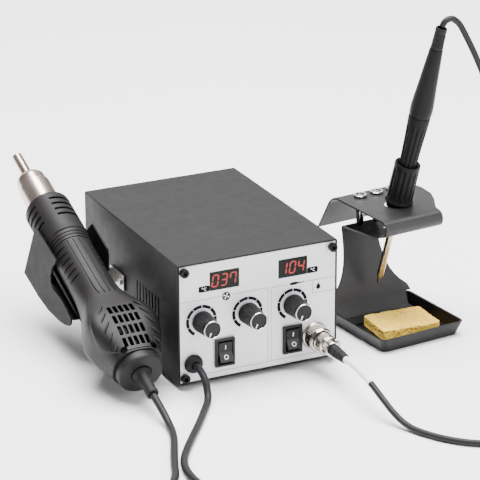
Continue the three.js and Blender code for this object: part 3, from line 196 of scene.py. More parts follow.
# ------------------------------------------------------------------ materials
class Nodes:
    """Builds one material's node tree."""

    def __init__(self, name):
        self.material = bpy.data.materials.new(name)
        self.material.use_nodes = True
        self.tree = self.material.node_tree
        self.shader = self.tree.nodes["Principled BSDF"]
        self.place = self.tree.nodes.new("ShaderNodeTexCoord").outputs["Object"]

    def add(self, kind, **inputs):
        """A node with its inputs set: a value, or another node's output to link."""
        node = self.tree.nodes.new(kind)
        for name, value in inputs.items():
            self.put(node.inputs[name.replace("_", " ")], value)
        return node

    def put(self, socket, value):
        """Sets or links one socket."""
        if isinstance(value, bpy.types.NodeSocket):
            self.tree.links.new(value, socket)
        else:
            socket.default_value = value

    def base(self, roughness, metallic=0.0, **more):
        """The shader's even values."""
        self.put(self.shader.inputs["Roughness"], roughness)
        self.put(self.shader.inputs["Metallic"], metallic)
        for name, value in more.items():
            self.put(self.shader.inputs[name.replace("_", " ")], value)

    def noise(self, size, detail=3.0, roughness=0.5, stretch=None, turn=None):
        """Noise whose features are about size millimetres."""
        place = self.place
        if stretch or turn:
            mapping = self.add("ShaderNodeMapping", Vector=place)
            mapping.inputs["Rotation"].default_value = turn or (0, 0, 0)
            mapping.inputs["Scale"].default_value = stretch or (1, 1, 1)
            place = mapping.outputs["Vector"]
        node = self.add("ShaderNodeTexNoise", Vector=place, Scale=1 / (size * MM), Detail=detail)
        node.inputs["Roughness"].default_value = roughness
        return node.outputs["Fac"]

    def between(self, factor, low, high, start=0.35, end=0.65):
        """A value that runs from low to high as factor goes from start to end."""
        node = self.add("ShaderNodeMapRange", Value=factor)
        for name, value in zip(("From Min", "From Max", "To Min", "To Max"), (start, end, low, high)):
            node.inputs[name].default_value = value
        return node.outputs["Result"]

    def ramp(self, factor, *stops):
        """Colours at places along a factor."""
        node = self.add("ShaderNodeValToRGB", Fac=factor)
        ramp = node.color_ramp
        while len(ramp.elements) < len(stops):
            ramp.elements.new(0.5)
        for element, (place, tint) in zip(ramp.elements, stops):
            element.position = place
            element.color = (*tint, 1)
        return node.outputs["Color"]

    def mix(self, factor, a, b):
        """Two colours mixed by a factor."""
        node = self.tree.nodes.new("ShaderNodeMix")
        node.data_type = "RGBA"
        self.put(node.inputs["Factor"], factor)
        self.put(node.inputs[6], a)
        self.put(node.inputs[7], b)
        return node.outputs[2]

    def bump(self, height, depth, strength=1.0, under=None):
        """A bump of depth millimetres, laid over another one."""
        node = self.add("ShaderNodeBump", Height=height, Strength=strength, Distance=depth * MM)
        if under:
            self.put(node.inputs["Normal"], under)
        return node.outputs["Normal"]


def shade(tint, factor):
    """A tint made lighter or darker."""
    return tuple(min(1.0, c * factor) for c in tint)


def grained(name, tint, rough, grain, depth, metallic=0.0, spread=0.12, shine=0.2):
    """Paint, plastic or rubber: a fine grain, a slow drift of colour and an uneven gloss."""
    nodes = Nodes(name)
    nodes.base(rough, metallic, Specular_IOR_Level=shine)
    slow = nodes.noise(26, 4, 0.6)
    fine = nodes.noise(grain, 2)
    tinted = nodes.ramp(slow, (0.3, shade(tint, 1 - spread)), (0.7, shade(tint, 1 + spread)))
    speckled = nodes.mix(nodes.between(fine, 0, 0.35, 0.45, 0.75), tinted, (*shade(tint, 1.5), 1))
    nodes.put(nodes.shader.inputs["Base Color"], speckled)
    scuffs = nodes.noise(9, 5, 0.7)
    nodes.put(nodes.shader.inputs["Roughness"], nodes.between(scuffs, rough - 0.03, rough + 0.04))
    wave = nodes.bump(nodes.noise(6, 2), 0.012, 0.25)
    nodes.put(nodes.shader.inputs["Normal"], nodes.bump(fine, depth, 0.6, wave))
    return nodes.material


def metal(name, tint, rough, size=0.5, stretch=(1, 1, 1), turn=(0, 0, 0), depth=0.006):
    """Bare or plated metal with drawn lines along one direction and faint smudges."""
    nodes = Nodes(name)
    nodes.base(rough, 1.0)
    lines = nodes.noise(size, 3, 0.6, stretch, turn)
    smudge = nodes.noise(11, 4, 0.65)
    nodes.put(
        nodes.shader.inputs["Base Color"],
        nodes.ramp(smudge, (0.3, shade(tint, 0.86)), (0.72, shade(tint, 1.06))),
    )
    nodes.put(nodes.shader.inputs["Roughness"], nodes.between(lines, rough * 0.7, rough * 1.5))
    nodes.put(nodes.shader.inputs["Normal"], nodes.bump(lines, depth, 0.5))
    return nodes.material


def heat_tinted(name, place, reach, stops, rough):
    """Steel whose colour runs along a frame's Z, from 0 to reach millimetres."""
    nodes = Nodes(name)
    nodes.base(rough, 1.0)
    back = place.inverted()
    mapping = nodes.add("ShaderNodeMapping", Vector=nodes.place)
    mapping.vector_type = "POINT"
    mapping.inputs["Location"].default_value = back.to_translation()
    mapping.inputs["Rotation"].default_value = back.to_euler()
    run = nodes.add("ShaderNodeSeparateXYZ", Vector=mapping.outputs["Vector"]).outputs["Z"]
    drift = nodes.between(nodes.noise(7, 3), -0.04, 0.04)
    share = nodes.between(run, 0, 1, 0, reach * MM)
    total = nodes.add("ShaderNodeMath")
    total.operation = "ADD"
    nodes.put(total.inputs[0], share)
    nodes.put(total.inputs[1], drift)
    nodes.put(nodes.shader.inputs["Base Color"], nodes.ramp(total.outputs["Value"], *stops))
    lines = nodes.noise(0.35, 3, 0.6)
    nodes.put(nodes.shader.inputs["Roughness"], nodes.between(lines, rough * 0.75, rough * 1.4))
    nodes.put(nodes.shader.inputs["Normal"], nodes.bump(lines, 0.005, 0.4))
    return nodes.material


def glowing(name, tint, strength):
    """A lit display segment, a little uneven."""
    nodes = Nodes(name)
    nodes.base(0.4)
    uneven = nodes.ramp(nodes.noise(2.5, 1), (0.35, shade(tint, 0.8)), (0.65, tint))
    nodes.put(nodes.shader.inputs["Base Color"], nodes.mix(0.8, uneven, (0, 0, 0, 1)))
    nodes.put(nodes.shader.inputs["Emission Color"], uneven)
    nodes.put(nodes.shader.inputs["Emission Strength"], strength)
    return nodes.material


def smoked_window(name):
    """The dark glossy window over a display."""
    nodes = Nodes(name)
    nodes.base(0.15, 0, Specular_IOR_Level=0.12)
    dusty = nodes.noise(5, 4, 0.7)
    nodes.put(
        nodes.shader.inputs["Base Color"],
        nodes.ramp(dusty, (0.35, (0.004, 0.006, 0.004)), (0.75, (0.009, 0.012, 0.009))),
    )
    nodes.put(nodes.shader.inputs["Roughness"], nodes.between(dusty, 0.12, 0.24))
    return nodes.material


def cellulose(name, tint, pore):
    """Open sponge: pale skin, pores painted darker as shade in their holes, and a soft sheen."""
    nodes = Nodes(name)
    nodes.base(0.95, 0, Sheen_Weight=0.12, Sheen_Roughness=0.5, Specular_IOR_Level=0.2)
    cells = nodes.add("ShaderNodeTexVoronoi", Vector=nodes.place, Scale=1 / pore)
    cells.inputs["Randomness"].default_value = 1.0
    small = nodes.add("ShaderNodeTexVoronoi", Vector=nodes.place, Scale=2.6 / pore)
    blotch = nodes.noise(9, 5, 0.65)
    body = nodes.ramp(blotch, (0.3, shade(tint, 0.86)), (0.7, shade(tint, 1.1)))
    # Painted shade: the larger and the smaller pores are painted darker to stand in for the shade inside
    # their holes; the pits themselves come from the bumps and the mesh.
    pores = nodes.between(cells.outputs["Distance"], 1, 0, 0.06, 0.3)
    pore_shaded_colour = nodes.mix(pores, body, (*shade(tint, 0.42), 1))
    small_pore_shade_mask = nodes.between(small.outputs["Distance"], 0.55, 0, 0.08, 0.3)
    nodes.put(nodes.shader.inputs["Base Color"], nodes.mix(small_pore_shade_mask, pore_shaded_colour, (*shade(tint, 0.6), 1)))
    deep = nodes.bump(cells.outputs["Distance"], 0.5, 0.6)
    nodes.put(nodes.shader.inputs["Normal"], nodes.bump(small.outputs["Distance"], 0.25, 0.5, deep))
    return nodes.material


def plain_floor(name):
    """The studio's pale paper floor."""
    nodes = Nodes(name)
    nodes.base(0.9)
    nodes.put(
        nodes.shader.inputs["Base Color"],
        nodes.ramp(nodes.noise(160, 2), (0.3, (0.93, 0.93, 0.932)), (0.7, (0.945, 0.945, 0.948))),
    )
    return nodes.material


MATERIALS = {}


def make_materials(colours, sizes):
    """Makes every finish once."""
    white = (0.78, 0.78, 0.78)
    nickel = (0.6, 0.55, 0.48)
    steel_run = (
        (0.0, (0.6, 0.5, 0.44)), (0.3, (0.72, 0.61, 0.54)), (0.5, (0.62, 0.5, 0.43)),
        (0.62, (0.52, 0.4, 0.34)), (1.0, (0.7, 0.6, 0.54)),
    )
    sleeve_run = (
        (0.0, (0.24, 0.18, 0.12)), (0.12, (0.5, 0.37, 0.19)), (0.5, (0.5, 0.42, 0.28)),
        (1.0, (0.56, 0.52, 0.46)),
    )
    sleeve_foot = IRON @ at(0, 0, SLEEVE_FOOT)
    nozzle_foot = ALONG_GUN @ at(0, 0, NOZZLE_FOOT)
    MATERIALS.update(
        cover=grained("powder_coat", colours.cover, 0.52, 0.34, 0.014, shine=0.2),
        cradle=grained("cradle_paint", colours.cover, 0.55, 0.5, 0.02, shine=0.07),
        stand=grained("stand_paint", colours.cover, 0.46, 0.5, 0.018, shine=0.4),
        panel=grained("panel_paint", colours.panel, 0.42, 0.16, 0.004, 0.25, 0.03),
        ink=grained("panel_ink", colours.ink, 0.7, 0.4, 0.002, shine=0.05),
        pale_ink=grained("fine_line_ink", (0.13, 0.135, 0.145), 0.5, 0.4, 0.002),
        white=grained("white_mark", white, 0.5, 0.4, 0.004, 0, 0.05),
        label=grained("white_label", (0.82, 0.82, 0.82), 0.38, 0.6, 0.006, 0, 0.04),
        plastic=grained("gun_plastic", colours.plastic, 0.47, 0.42, 0.016),
        guard=grained("guard_plastic", shade(colours.plastic, 0.9), 0.5, 0.42, 0.02),
        tray=grained("tray_plastic", shade(colours.cover, 0.8), 0.36, 0.6, 0.012),
        knob=grained("knob_plastic", (0.006, 0.006, 0.0065), 0.34, 0.3, 0.006),
        gloss=grained("switch_plastic", (0.006, 0.006, 0.007), 0.3, 0.8, 0.003),
        bezel=grained("bezel_plastic", (0.007, 0.007, 0.008), 0.38, 0.4, 0.01),
        handle=grained("handle_plastic", colours.handle, 0.42, 0.5, 0.01, shine=0.09),
        grip=grained("grip_rubber", shade(colours.handle, 0.8), 0.6, 0.5, 0.012, shine=0.12),
        rubber=grained("black_rubber", colours.rubber, 0.6, 0.5, 0.015),
        cord=grained("cord_jacket", colours.cord, 0.48, 0.6, 0.01),
        board=grained("board_laminate", (0.02, 0.12, 0.06), 0.35, 1.2, 0.01),
        ceramic=grained("heater_ceramic", (0.7, 0.66, 0.58), 0.75, 0.7, 0.02),
        screw=metal("black_oxide", (0.018, 0.018, 0.02), 0.32),
        nickel=metal("nickel_plate", nickel, 0.17, 0.4),
        chrome=metal("chrome_plate", (0.6, 0.6, 0.6), 0.14, 0.5),
        tab=metal("zinc_plate", (0.4, 0.39, 0.37), 0.28, 0.7),
        laminations=metal("laminations", (0.2, 0.2, 0.22), 0.45, 0.4, (1, 1, 12)),
        tip=metal("tip_plating", (0.42, 0.38, 0.35), 0.32, 0.4),
        nozzle=heat_tinted("nozzle_steel", nozzle_foot, NOZZLE_LENGTH, steel_run, 0.22),
        sleeve=heat_tinted("sleeve_brass", sleeve_foot, SLEEVE_TINT, sleeve_run, 0.24),
        window=smoked_window("display_window"),
        digits=glowing("display_digits", colours.digits, 0.6),
        sponge=cellulose("cellulose_sponge", colours.sponge, sizes.sponge_pore),
        floor=plain_floor("paper_floor"),
    )


# ------------------------------------------------------------------ shaping
def spun(profile, segments=64):
    """A turned body about Z from (radius, height) points; equal ends close a ring."""
    shape = bmesh.new()
    ring = profile[0] == profile[-1]
    verts = [shape.verts.new((r, 0, z)) for r, z in (profile[:-1] if ring else profile)]
    edges = [shape.edges.new(pair) for pair in zip(verts, verts[1:])]
    if ring:
        edges.append(shape.edges.new((verts[-1], verts[0])))
    bmesh.ops.spin(
        shape, geom=verts + edges, cent=(0, 0, 0), axis=(0, 0, 1), angle=math.tau, steps=segments,
        use_merge=True,
    )
    bmesh.ops.remove_doubles(shape, verts=shape.verts, dist=1e-3)
    bmesh.ops.recalc_face_normals(shape, faces=shape.faces)
    return shape


def slab(x0, x1, y0, y1, z0, z1):
    """A block between two corners."""
    shape = bmesh.new()
    bmesh.ops.create_cube(shape, size=1)
    bmesh.ops.scale(shape, vec=(x1 - x0, y1 - y0, z1 - z0), verts=shape.verts)
    bmesh.ops.translate(shape, vec=((x0 + x1) / 2, (y0 + y1) / 2, (z0 + z1) / 2), verts=shape.verts)
    return shape


def pulled(outline, height):
    """A flat outline in X and Y, pulled up along Z."""
    shape = bmesh.new()
    face = shape.faces.new([shape.verts.new((x, y, 0)) for x, y in outline])
    made = bmesh.ops.extrude_face_region(shape, geom=[face])
    moved = [item for item in made["geom"] if isinstance(item, bmesh.types.BMVert)]
    bmesh.ops.translate(shape, vec=(0, 0, height), verts=moved)
    bmesh.ops.recalc_face_normals(shape, faces=shape.faces)
    return shape


def swept_sector(outline, angle, steps):
    """A flat outline in radius and height, turned part of the way round Z."""
    shape = bmesh.new()
    face = shape.faces.new([shape.verts.new((r, 0, z)) for r, z in outline])
    bmesh.ops.spin(
        shape, geom=[face, *face.edges, *face.verts], cent=(0, 0, 0), axis=(0, 0, 1), angle=angle,
        steps=steps,
    )
    bmesh.ops.rotate(
        shape, cent=(0, 0, 0), matrix=Matrix.Rotation(-angle / 2, 3, "Z"), verts=shape.verts
    )
    bmesh.ops.recalc_face_normals(shape, faces=shape.faces)
    return shape


def arc(radius, start, end, steps, x=0.0, y=0.0):
    """Points on an arc, angles in degrees."""
    angles = [math.radians(start + (end - start) * i / steps) for i in range(steps + 1)]
    return [(x + radius * math.cos(a), y + radius * math.sin(a)) for a in angles]


def soften(shape, width, segments=2, angle=25):
    """Rounds every edge sharper than an angle in degrees."""
    limit = math.radians(angle)
    edges = [e for e in shape.edges if e.is_manifold and e.calc_face_angle(0) > limit]
    bmesh.ops.bevel(
        shape, geom=edges, offset=width, offset_type="OFFSET", segments=segments, profile=0.5,
        affect="EDGES", clamp_overlap=True, material=-1,
    )
    return shape


def moved(shape, matrix):
    """The same shape, shifted or turned."""
    shape.transform(matrix)
    return shape


def gathered(*shapes):
    """Several shapes in one."""
    whole = bmesh.new()
    for shape in shapes:
        part = bpy.data.meshes.new("part")
        shape.to_mesh(part)
        whole.from_mesh(part)
        shape.free()
        bpy.data.meshes.remove(part)
    return whole


def flute(shape, count, depth, low, high, sharp=1.0, inner=0.0):
    """Cuts flutes into a turned body's side between two heights; a sharp below 1 narrows them."""
    for vert in shape.verts:
        radius = math.hypot(vert.co.x, vert.co.y)
        if low < vert.co.z < high and radius > inner:
            angle = math.atan2(vert.co.y, vert.co.x)
            drop = depth * (0.5 + 0.5 * math.cos(count * angle)) ** (1 / sharp)
            drop *= min(1.0, (vert.co.z - low) / 1.5, (high - vert.co.z) / 1.5)
            vert.co.x -= drop * vert.co.x / radius
            vert.co.y -= drop * vert.co.y / radius
    return shape


def add_piece(name, shape, place, finish, body, nodes=(), smooth=32):
    """Puts a finished shape in the scene: in its place, on its body, with its finish."""
    shape.transform(place @ Matrix.Scale(MM, 4))
    mesh = bpy.data.meshes.new(name)
    shape.to_mesh(mesh)
    shape.free()
    mesh.shade_smooth()
    mesh.set_sharp_from_angle(angle=math.radians(smooth))
    mesh.materials.append(MATERIALS[finish])
    piece = bpy.data.objects.new(name, mesh)
    bpy.context.scene.collection.objects.link(piece)
    even = piece.modifiers.new("even_shading", "WEIGHTED_NORMAL")
    even.keep_sharp = True
    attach(piece, body)
    if nodes:
        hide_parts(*nodes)
    return piece


def carve(shape, cutters, how="DIFFERENCE"):
    """Cuts one shape out of another, or keeps what they share."""
    pair = []
    for name, part in (("body", shape), ("cutter", cutters)):
        mesh = bpy.data.meshes.new(name)
        part.to_mesh(mesh)
        part.free()
        pair.append(bpy.data.objects.new(name, mesh))
        bpy.context.scene.collection.objects.link(pair[-1])
    body, tool = pair
    cut = body.modifiers.new("cut", "BOOLEAN")
    cut.operation = how
    cut.solver = "EXACT"
    cut.use_self = True
    cut.object = tool
    bpy.context.view_layer.update()
    ready = body.evaluated_get(bpy.context.evaluated_depsgraph_get())
    result = bpy.data.meshes.new_from_object(ready)
    carved = bmesh.new()
    carved.from_mesh(result)
    meshes = [body.data, tool.data, result]
    for item in pair:
        bpy.data.objects.remove(item)
    for mesh in meshes:
        bpy.data.meshes.remove(mesh)
    if len(carved.faces) < 4:
        raise RuntimeError("the cut left nothing")
    return carved


def softened_node(node, finish, body, width=0.25, segments=2, angle=25):
    """A CAD node with its edges rounded over."""
    shape = bmesh.new()
    shape.from_mesh(bpy.data.objects[node].data)
    bmesh.ops.remove_doubles(shape, verts=shape.verts, dist=2e-6)
    bmesh.ops.dissolve_limit(
        shape, angle_limit=math.radians(1), verts=shape.verts, edges=shape.edges,
        use_dissolve_boundaries=False,
    )
    soften(shape, width * MM, segments, angle)
    shape.transform(Matrix.Scale(1 / MM, 4))
    return add_piece(f"{node}_finished", shape, Matrix.Identity(4), finish, body, (node,))


# ------------------------------------------------------------------ camera and stage
def aim_camera(stage):
    """Puts the camera at its place and angle."""
    data = bpy.data.cameras.new("studio_camera")
    camera = bpy.data.objects.new("studio_camera", data)
    bpy.context.scene.collection.objects.link(camera)
    data.sensor_width = SENSOR_WIDTH
    data.lens = stage.lens
    data.clip_start, data.clip_end = CAMERA_NEAR, CAMERA_FAR
    a, e, roll = stage.azimuth, stage.elevation, stage.roll
    back = Vector((math.sin(a) * math.cos(e), -math.cos(a) * math.cos(e), math.sin(e)))
    right = Vector((0, 0, 1)).cross(back).normalized()
    up = back.cross(right)
    across = right * math.cos(roll) + up * math.sin(roll)
    upward = up * math.cos(roll) - right * math.sin(roll)
    turn = Matrix((across, upward, back)).transposed().to_4x4()
    camera.matrix_world = CASE @ at(*CAMERA_PLACE) @ turn
    bpy.context.scene.camera = camera


def add_light(name, place, aim, size, power):
    """A large soft light."""
    data = bpy.data.lights.new(name, "AREA")
    data.shape = "RECTANGLE"
    data.size, data.size_y = size
    data.energy = power
    light = bpy.data.objects.new(name, data)
    bpy.context.scene.collection.objects.link(light)
    light.location = place
    light.rotation_mode = "QUATERNION"
    light.rotation_quaternion = (Vector(place) - Vector(aim)).to_track_quat("Z", "Y")


def add_stage(stage):
    """Pale floor, soft light and a pale sky."""
    floor = bmesh.new()
    bmesh.ops.create_grid(floor, x_segments=1, y_segments=1, size=FLOOR_HALF)
    mesh = bpy.data.meshes.new("floor")
    floor.to_mesh(mesh)
    floor.free()
    mesh.materials.append(MATERIALS["floor"])
    sheet = bpy.data.objects.new("floor", mesh)
    sheet.location.z = FLOOR_LEVEL
    bpy.context.scene.collection.objects.link(sheet)
    world = bpy.data.worlds.new("studio")
    world.use_nodes = True
    sky = world.node_tree.nodes["Background"]
    sky.inputs["Color"].default_value = (1, 1, 1, 1)
    sky.inputs["Strength"].default_value = SKY_STRENGTH * stage.brightness
    bpy.context.scene.world = world
    for name, place, size, power in LIGHTS:
        add_light(name, place, LIGHT_AIM, size, power * stage.brightness)


# ------------------------------------------------------------------ cords
GUN_COIL = {"x": -135, "y": -200, "outer": 34, "pitch": 5.4, "low": 2.7, "turns": 4.5, "start": 0}
IRON_COIL = {"x": 143, "y": -152, "outer": 28, "pitch": 4.7, "low": 2.35, "turns": 4, "start": -90}
GUN_CORD_PANEL = [
    (-50.3, -5, 18.6), (-50.3, -10, 18.3), (-50.3, -15.5, 16.7), (-50.4, -20.2, 13.3),
    (-50.8, -24, 8.8), (-52.1, -28, 4.9), (-55, -33.2, 2.9), (-60.2, -40.8, 2.7),
    (-68.2, -52.6, 2.7), (-77, -65, 2.7), (-87, -78.6, 2.7), (-97, -92.8, 2.7),
    (-105.3, -107, 2.7), (-109.8, -122, 2.7), (-110.6, -138, 2.7), (-107.6, -154, 2.7),
    (-103, -168, 2.7), (-101, -179.8, 2.7),
]
GUN_CORD_HANDLE = [
    (-92, -26.4, 13.65), (-92, -34, 11.2), (-92, -41, 8.6), (-92.1, -48, 5.8),
    (-92.7, -55, 3.5), (-94.3, -63, 2.7), (-97.4, -72.5, 2.7), (-101.8, -83, 2.7),
    (-107.4, -95.5, 2.7), (-113.4, -109.5, 2.7), (-119.5, -124.5, 2.7), (-129, -138.5, 2.7),
    (-142, -150.5, 2.7), (-155, -161.5, 2.9), (-164.5, -172, 4.4), (-168.6, -179.8, 6.4),
]
IRON_CORD_HANDLE = [
    (146.4, 8.8, 233.2), (147.9, 8.4, 236.2), (150.7, 8.2, 237.9), (153.8, 8.1, 238),
    (156.8, 8.1, 236.2), (159.3, 8, 233.9), (161.6, 8, 230.6), (165, 8, 224.7),
    (169.4, 8, 216.6), (174.5, 8, 206.6), (180, 8, 194.5), (185, 8, 181),
    (189, 8, 166), (192.3, 8, 150), (194.8, 8, 133), (196.6, 8, 115), (197.9, 8, 97),
    (198.7, 8, 78), (199.1, 8, 59), (199.3, 8, 41), (199.4, 7.4, 26), (199.4, 4.6, 13.6),
    (199.2, -1.5, 5.6), (198.5, -10, 2.7), (196.9, -21, 2.4), (194.4, -35, 2.35),
    (191, -51, 2.35), (187.4, -68, 2.35), (184.2, -85, 2.35), (181.9, -102, 2.35),
    (180.7, -119, 2.35), (180.6, -135, 2.35), (180.3, -149, 2.35), (177.5, -162.5, 2.35),
    (171, -173.5, 2.35), (160, -180, 2.35),
]
IRON_CORD_PLUG = [
    (43.6, -48.3, 22.6), (43.6, -56, 22.9), (43.6, -65, 22.6), (43.6, -75, 21.4),
    (43.7, -85, 19.2), (44, -94, 16.4), (44.8, -103, 12.8), (46.2, -111.5, 8.8),
    (48.4, -120, 5.2), (51.6, -129, 2.9), (56.5, -139.5, 2.35), (63.5, -151, 2.35),
    (73, -161.5, 2.35), (85, -170, 2.35), (99, -176.5, 2.6), (113, -179.4, 3.6),
    (126, -180, 5.3),
]
CORD_FLOOR = Matrix.Translation((CASE.to_translation().x, CASE.to_translation().y, 0))


def through(points, steps=5):
    """A smooth line through points."""
    line = [Vector(p) for p in points]
    ends = [2 * line[0] - line[1], *line, 2 * line[-1] - line[-2]]
    smooth = []
    for a, b, c, d in zip(ends, ends[1:], ends[2:], ends[3:]):
        for i in range(steps):
            t = i / steps
            square = (2 * a - 5 * b + 4 * c - d) * t**2
            cube = (3 * b - a - 3 * c + d) * t**3
            smooth.append(0.5 * (2 * b + (c - a) * t + square + cube))
    return [*smooth, line[-1]]


def coil_line(coil, per_turn=32):
    """A flat coil of two layers: inwards on the floor, then outwards on top of itself."""
    count = int(coil["turns"] * per_turn)
    middle = coil["turns"] / 2
    line = []
    for i in range(count + 1):
        turn = i / per_turn
        radius = coil["outer"] - coil["pitch"] * (middle - abs(turn - middle))
        climb = min(max((turn - middle) / 0.3 + 0.5, 0), 1)
        angle = math.radians(coil["start"]) - math.tau * turn
        height = coil["low"] + coil["pitch"] * climb * climb * (3 - 2 * climb)
        line.append(
            Vector((coil["x"] + radius * math.cos(angle), coil["y"] + radius * math.sin(angle), height))
        )
    return line


def add_cord(name, line, diameter, body, nodes, finish="cord"):
    """A round cord along a line in millimetres; returns the piece and its path in metres."""
    path = [CORD_FLOOR @ (point * MM) for point in line]
    data = bpy.data.curves.new(name, "CURVE")
    data.dimensions = "3D"
    data.bevel_depth = diameter / 2
    data.bevel_resolution = 5
    data.use_fill_caps = True
    spline = data.splines.new("POLY")
    spline.points.add(len(path) - 1)
    for point, place in zip(spline.points, path):
        point.co = (*place, 1)
    source = bpy.data.objects.new(name, data)
    bpy.context.scene.collection.objects.link(source)
    bpy.context.view_layer.update()
    mesh = bpy.data.meshes.new_from_object(source.evaluated_get(bpy.context.evaluated_depsgraph_get()))
    bpy.data.objects.remove(source)
    bpy.data.curves.remove(data)
    shape = bmesh.new()
    shape.from_mesh(mesh)
    bmesh.ops.remove_doubles(shape, verts=shape.verts, dist=1e-6)
    bmesh.ops.recalc_face_normals(shape, faces=shape.faces)
    shape.to_mesh(mesh)
    shape.free()
    mesh.name = name
    mesh.materials.clear()
    mesh.materials.append(MATERIALS[finish])
    mesh.shade_smooth()
    piece = bpy.data.objects.new(name, mesh)
    bpy.context.scene.collection.objects.link(piece)
    if nodes:
        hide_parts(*nodes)
    if body:
        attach(piece, body)
    return piece, path


def add_gun_cord(sizes):
    """The hot-air gun's cord: from the gland into its coil, and from the coil to the gun."""
    coil = coil_line(GUN_COIL)
    line = [*through(GUN_CORD_PANEL), *coil]
    piece, path = add_cord(
        "gun_cord_coiled", line, sizes.gun_cord, "station", ("gun_cord_panel", "gun_cord_coil")
    )
    tail, path = add_cord(
        "gun_cord_tail", through([*GUN_CORD_HANDLE, coil[-1]]), sizes.gun_cord, None, ("gun_cord_handle",)
    )
    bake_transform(tail)


def add_iron_cord(sizes):
    """The iron's cord: from the handle to its coil, and from the coil to the plug."""
    coil = coil_line(IRON_COIL)
    tail, path = add_cord(
        "iron_cord_tail", through([*IRON_CORD_HANDLE, coil[0]]), sizes.iron_cord, None,
        ("iron_cord_handle",),
    )
    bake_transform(tail)
    line = [*through(IRON_CORD_PLUG), *reversed(coil)]
    piece, path = add_cord(
        "iron_cord_coiled", line, sizes.iron_cord, "station", ("iron_cord_plug", "iron_cord_coil")
    )
    label, _ = add_cord(
        "cord_label", through(IRON_CORD_PLUG[:5]), sizes.iron_cord + 0.0005, "station", (), "label"
    )


# ------------------------------------------------------------------ control case
SCREWS = [(-56.9, 5.2), (56.9, 5.2), (-56.9, 83.8), (56.9, 83.8)]
KNOBS = {"air_flow": -43.6, "air_heat": -8.5, "iron_heat": 26.3}
KNOB_LEVEL = 45.8
SWITCHES = {"air": -26.4, "iron": 26.1}
SWITCH_LEVEL = 19.5
DISPLAYS = {"display_air": (-25.9, "037"), "display_iron": (26.6, "104")}
DISPLAY_LEVEL = 73.4
SCALE_TURN = 270  # degrees that a dial's scale spans
SCALE_MARKS = 7
SCALE_START = 240
GLAND_PLACE = (-50.3, 15.1)
SOCKET_PLACE = (43.6, 19.1)
KNOB_BASE, KNOB_FACE, KNOB_HEIGHT, KNOB_LIFT = 7.75, 6.5, 17.3, 1.2
KNOB_TURN = math.radians(-22)  # where the pointers rest
ROCKER_TILT = math.radians(11)
FAN_MARK = (-24.6, 60.8)
DIGIT_PITCH = 6.7


def add_case(sizes):
    """Cover, base, front panel, feet, inlet and what is inside."""
    edge = sizes.edge / MM
    softened_node("top_cover", "cover", "station", edge)
    softened_node("base_chassis", "cover", "station", edge * 0.7)
    softened_node("front_panel", "panel", "station", 0.12)
    softened_node("mains_inlet", "bezel", "station", 0.3)
    for i in range(1, 5):
        softened_node(f"foot_{i}", "rubber", "station", 0.5)
    softened_node("transformer", "laminations", "station", 0.3)
    softened_node("main_board", "board", "station", 0.15)


def add_screws():
    """Four knurled socket-head screws."""
    for i, (x, z) in enumerate(SCREWS, 1):
        profile = [(0, -7.3), (1.5, -7.3), (1.5, 0.3), (3.0, 0.3), (3.25, 0.55)]
        profile += [(3.25, 0.9 + 0.35 * k) for k in range(6)] + [(3.25, 3.1), (2.9, 3.4), (1.75, 3.4)]
        profile += [(1.55, 3.1), (1.5, 1.2), (0, 0.7)]
        head = flute(spun(profile, 96), 24, 0.22, 0.8, 3.0)
        for vert in head.verts:
            if vert.co.z > 1.1 and math.hypot(vert.co.x, vert.co.y) < 1.6:
                angle = math.atan2(vert.co.y, vert.co.x) % (math.pi / 3) - math.pi / 6
                scale = 1.25 / math.cos(angle) / 1.5
                vert.co.x *= scale
                vert.co.y *= scale
        add_piece(
            f"panel_screw_{i}_knurled", head, on_panel(x, z, PANEL_DEPTH), "screw", "station",
            (f"panel_screw_{i}",),
        )


def strip(x0, z0, x1, z1, width, thick):
    """A straight printed line on the panel."""
    start, end = Vector((x0, z0)), Vector((x1, z1))
    run = (end - start).normalized() * width / 2
    side = Vector((-run.y, run.x))
    corners = [start - run - side, end + run - side, end + run + side, start - run + side]
    return pulled([tuple(c) for c in corners], thick)


def ring_piece(inner, outer, start, end, thick, x=0.0, y=0.0, steps=10):
    """A flat piece of a ring."""
    outline = [*arc(outer, start, end, steps, x, y), *reversed(arc(inner, start, end, steps, x, y))]
    return pulled(outline, thick)


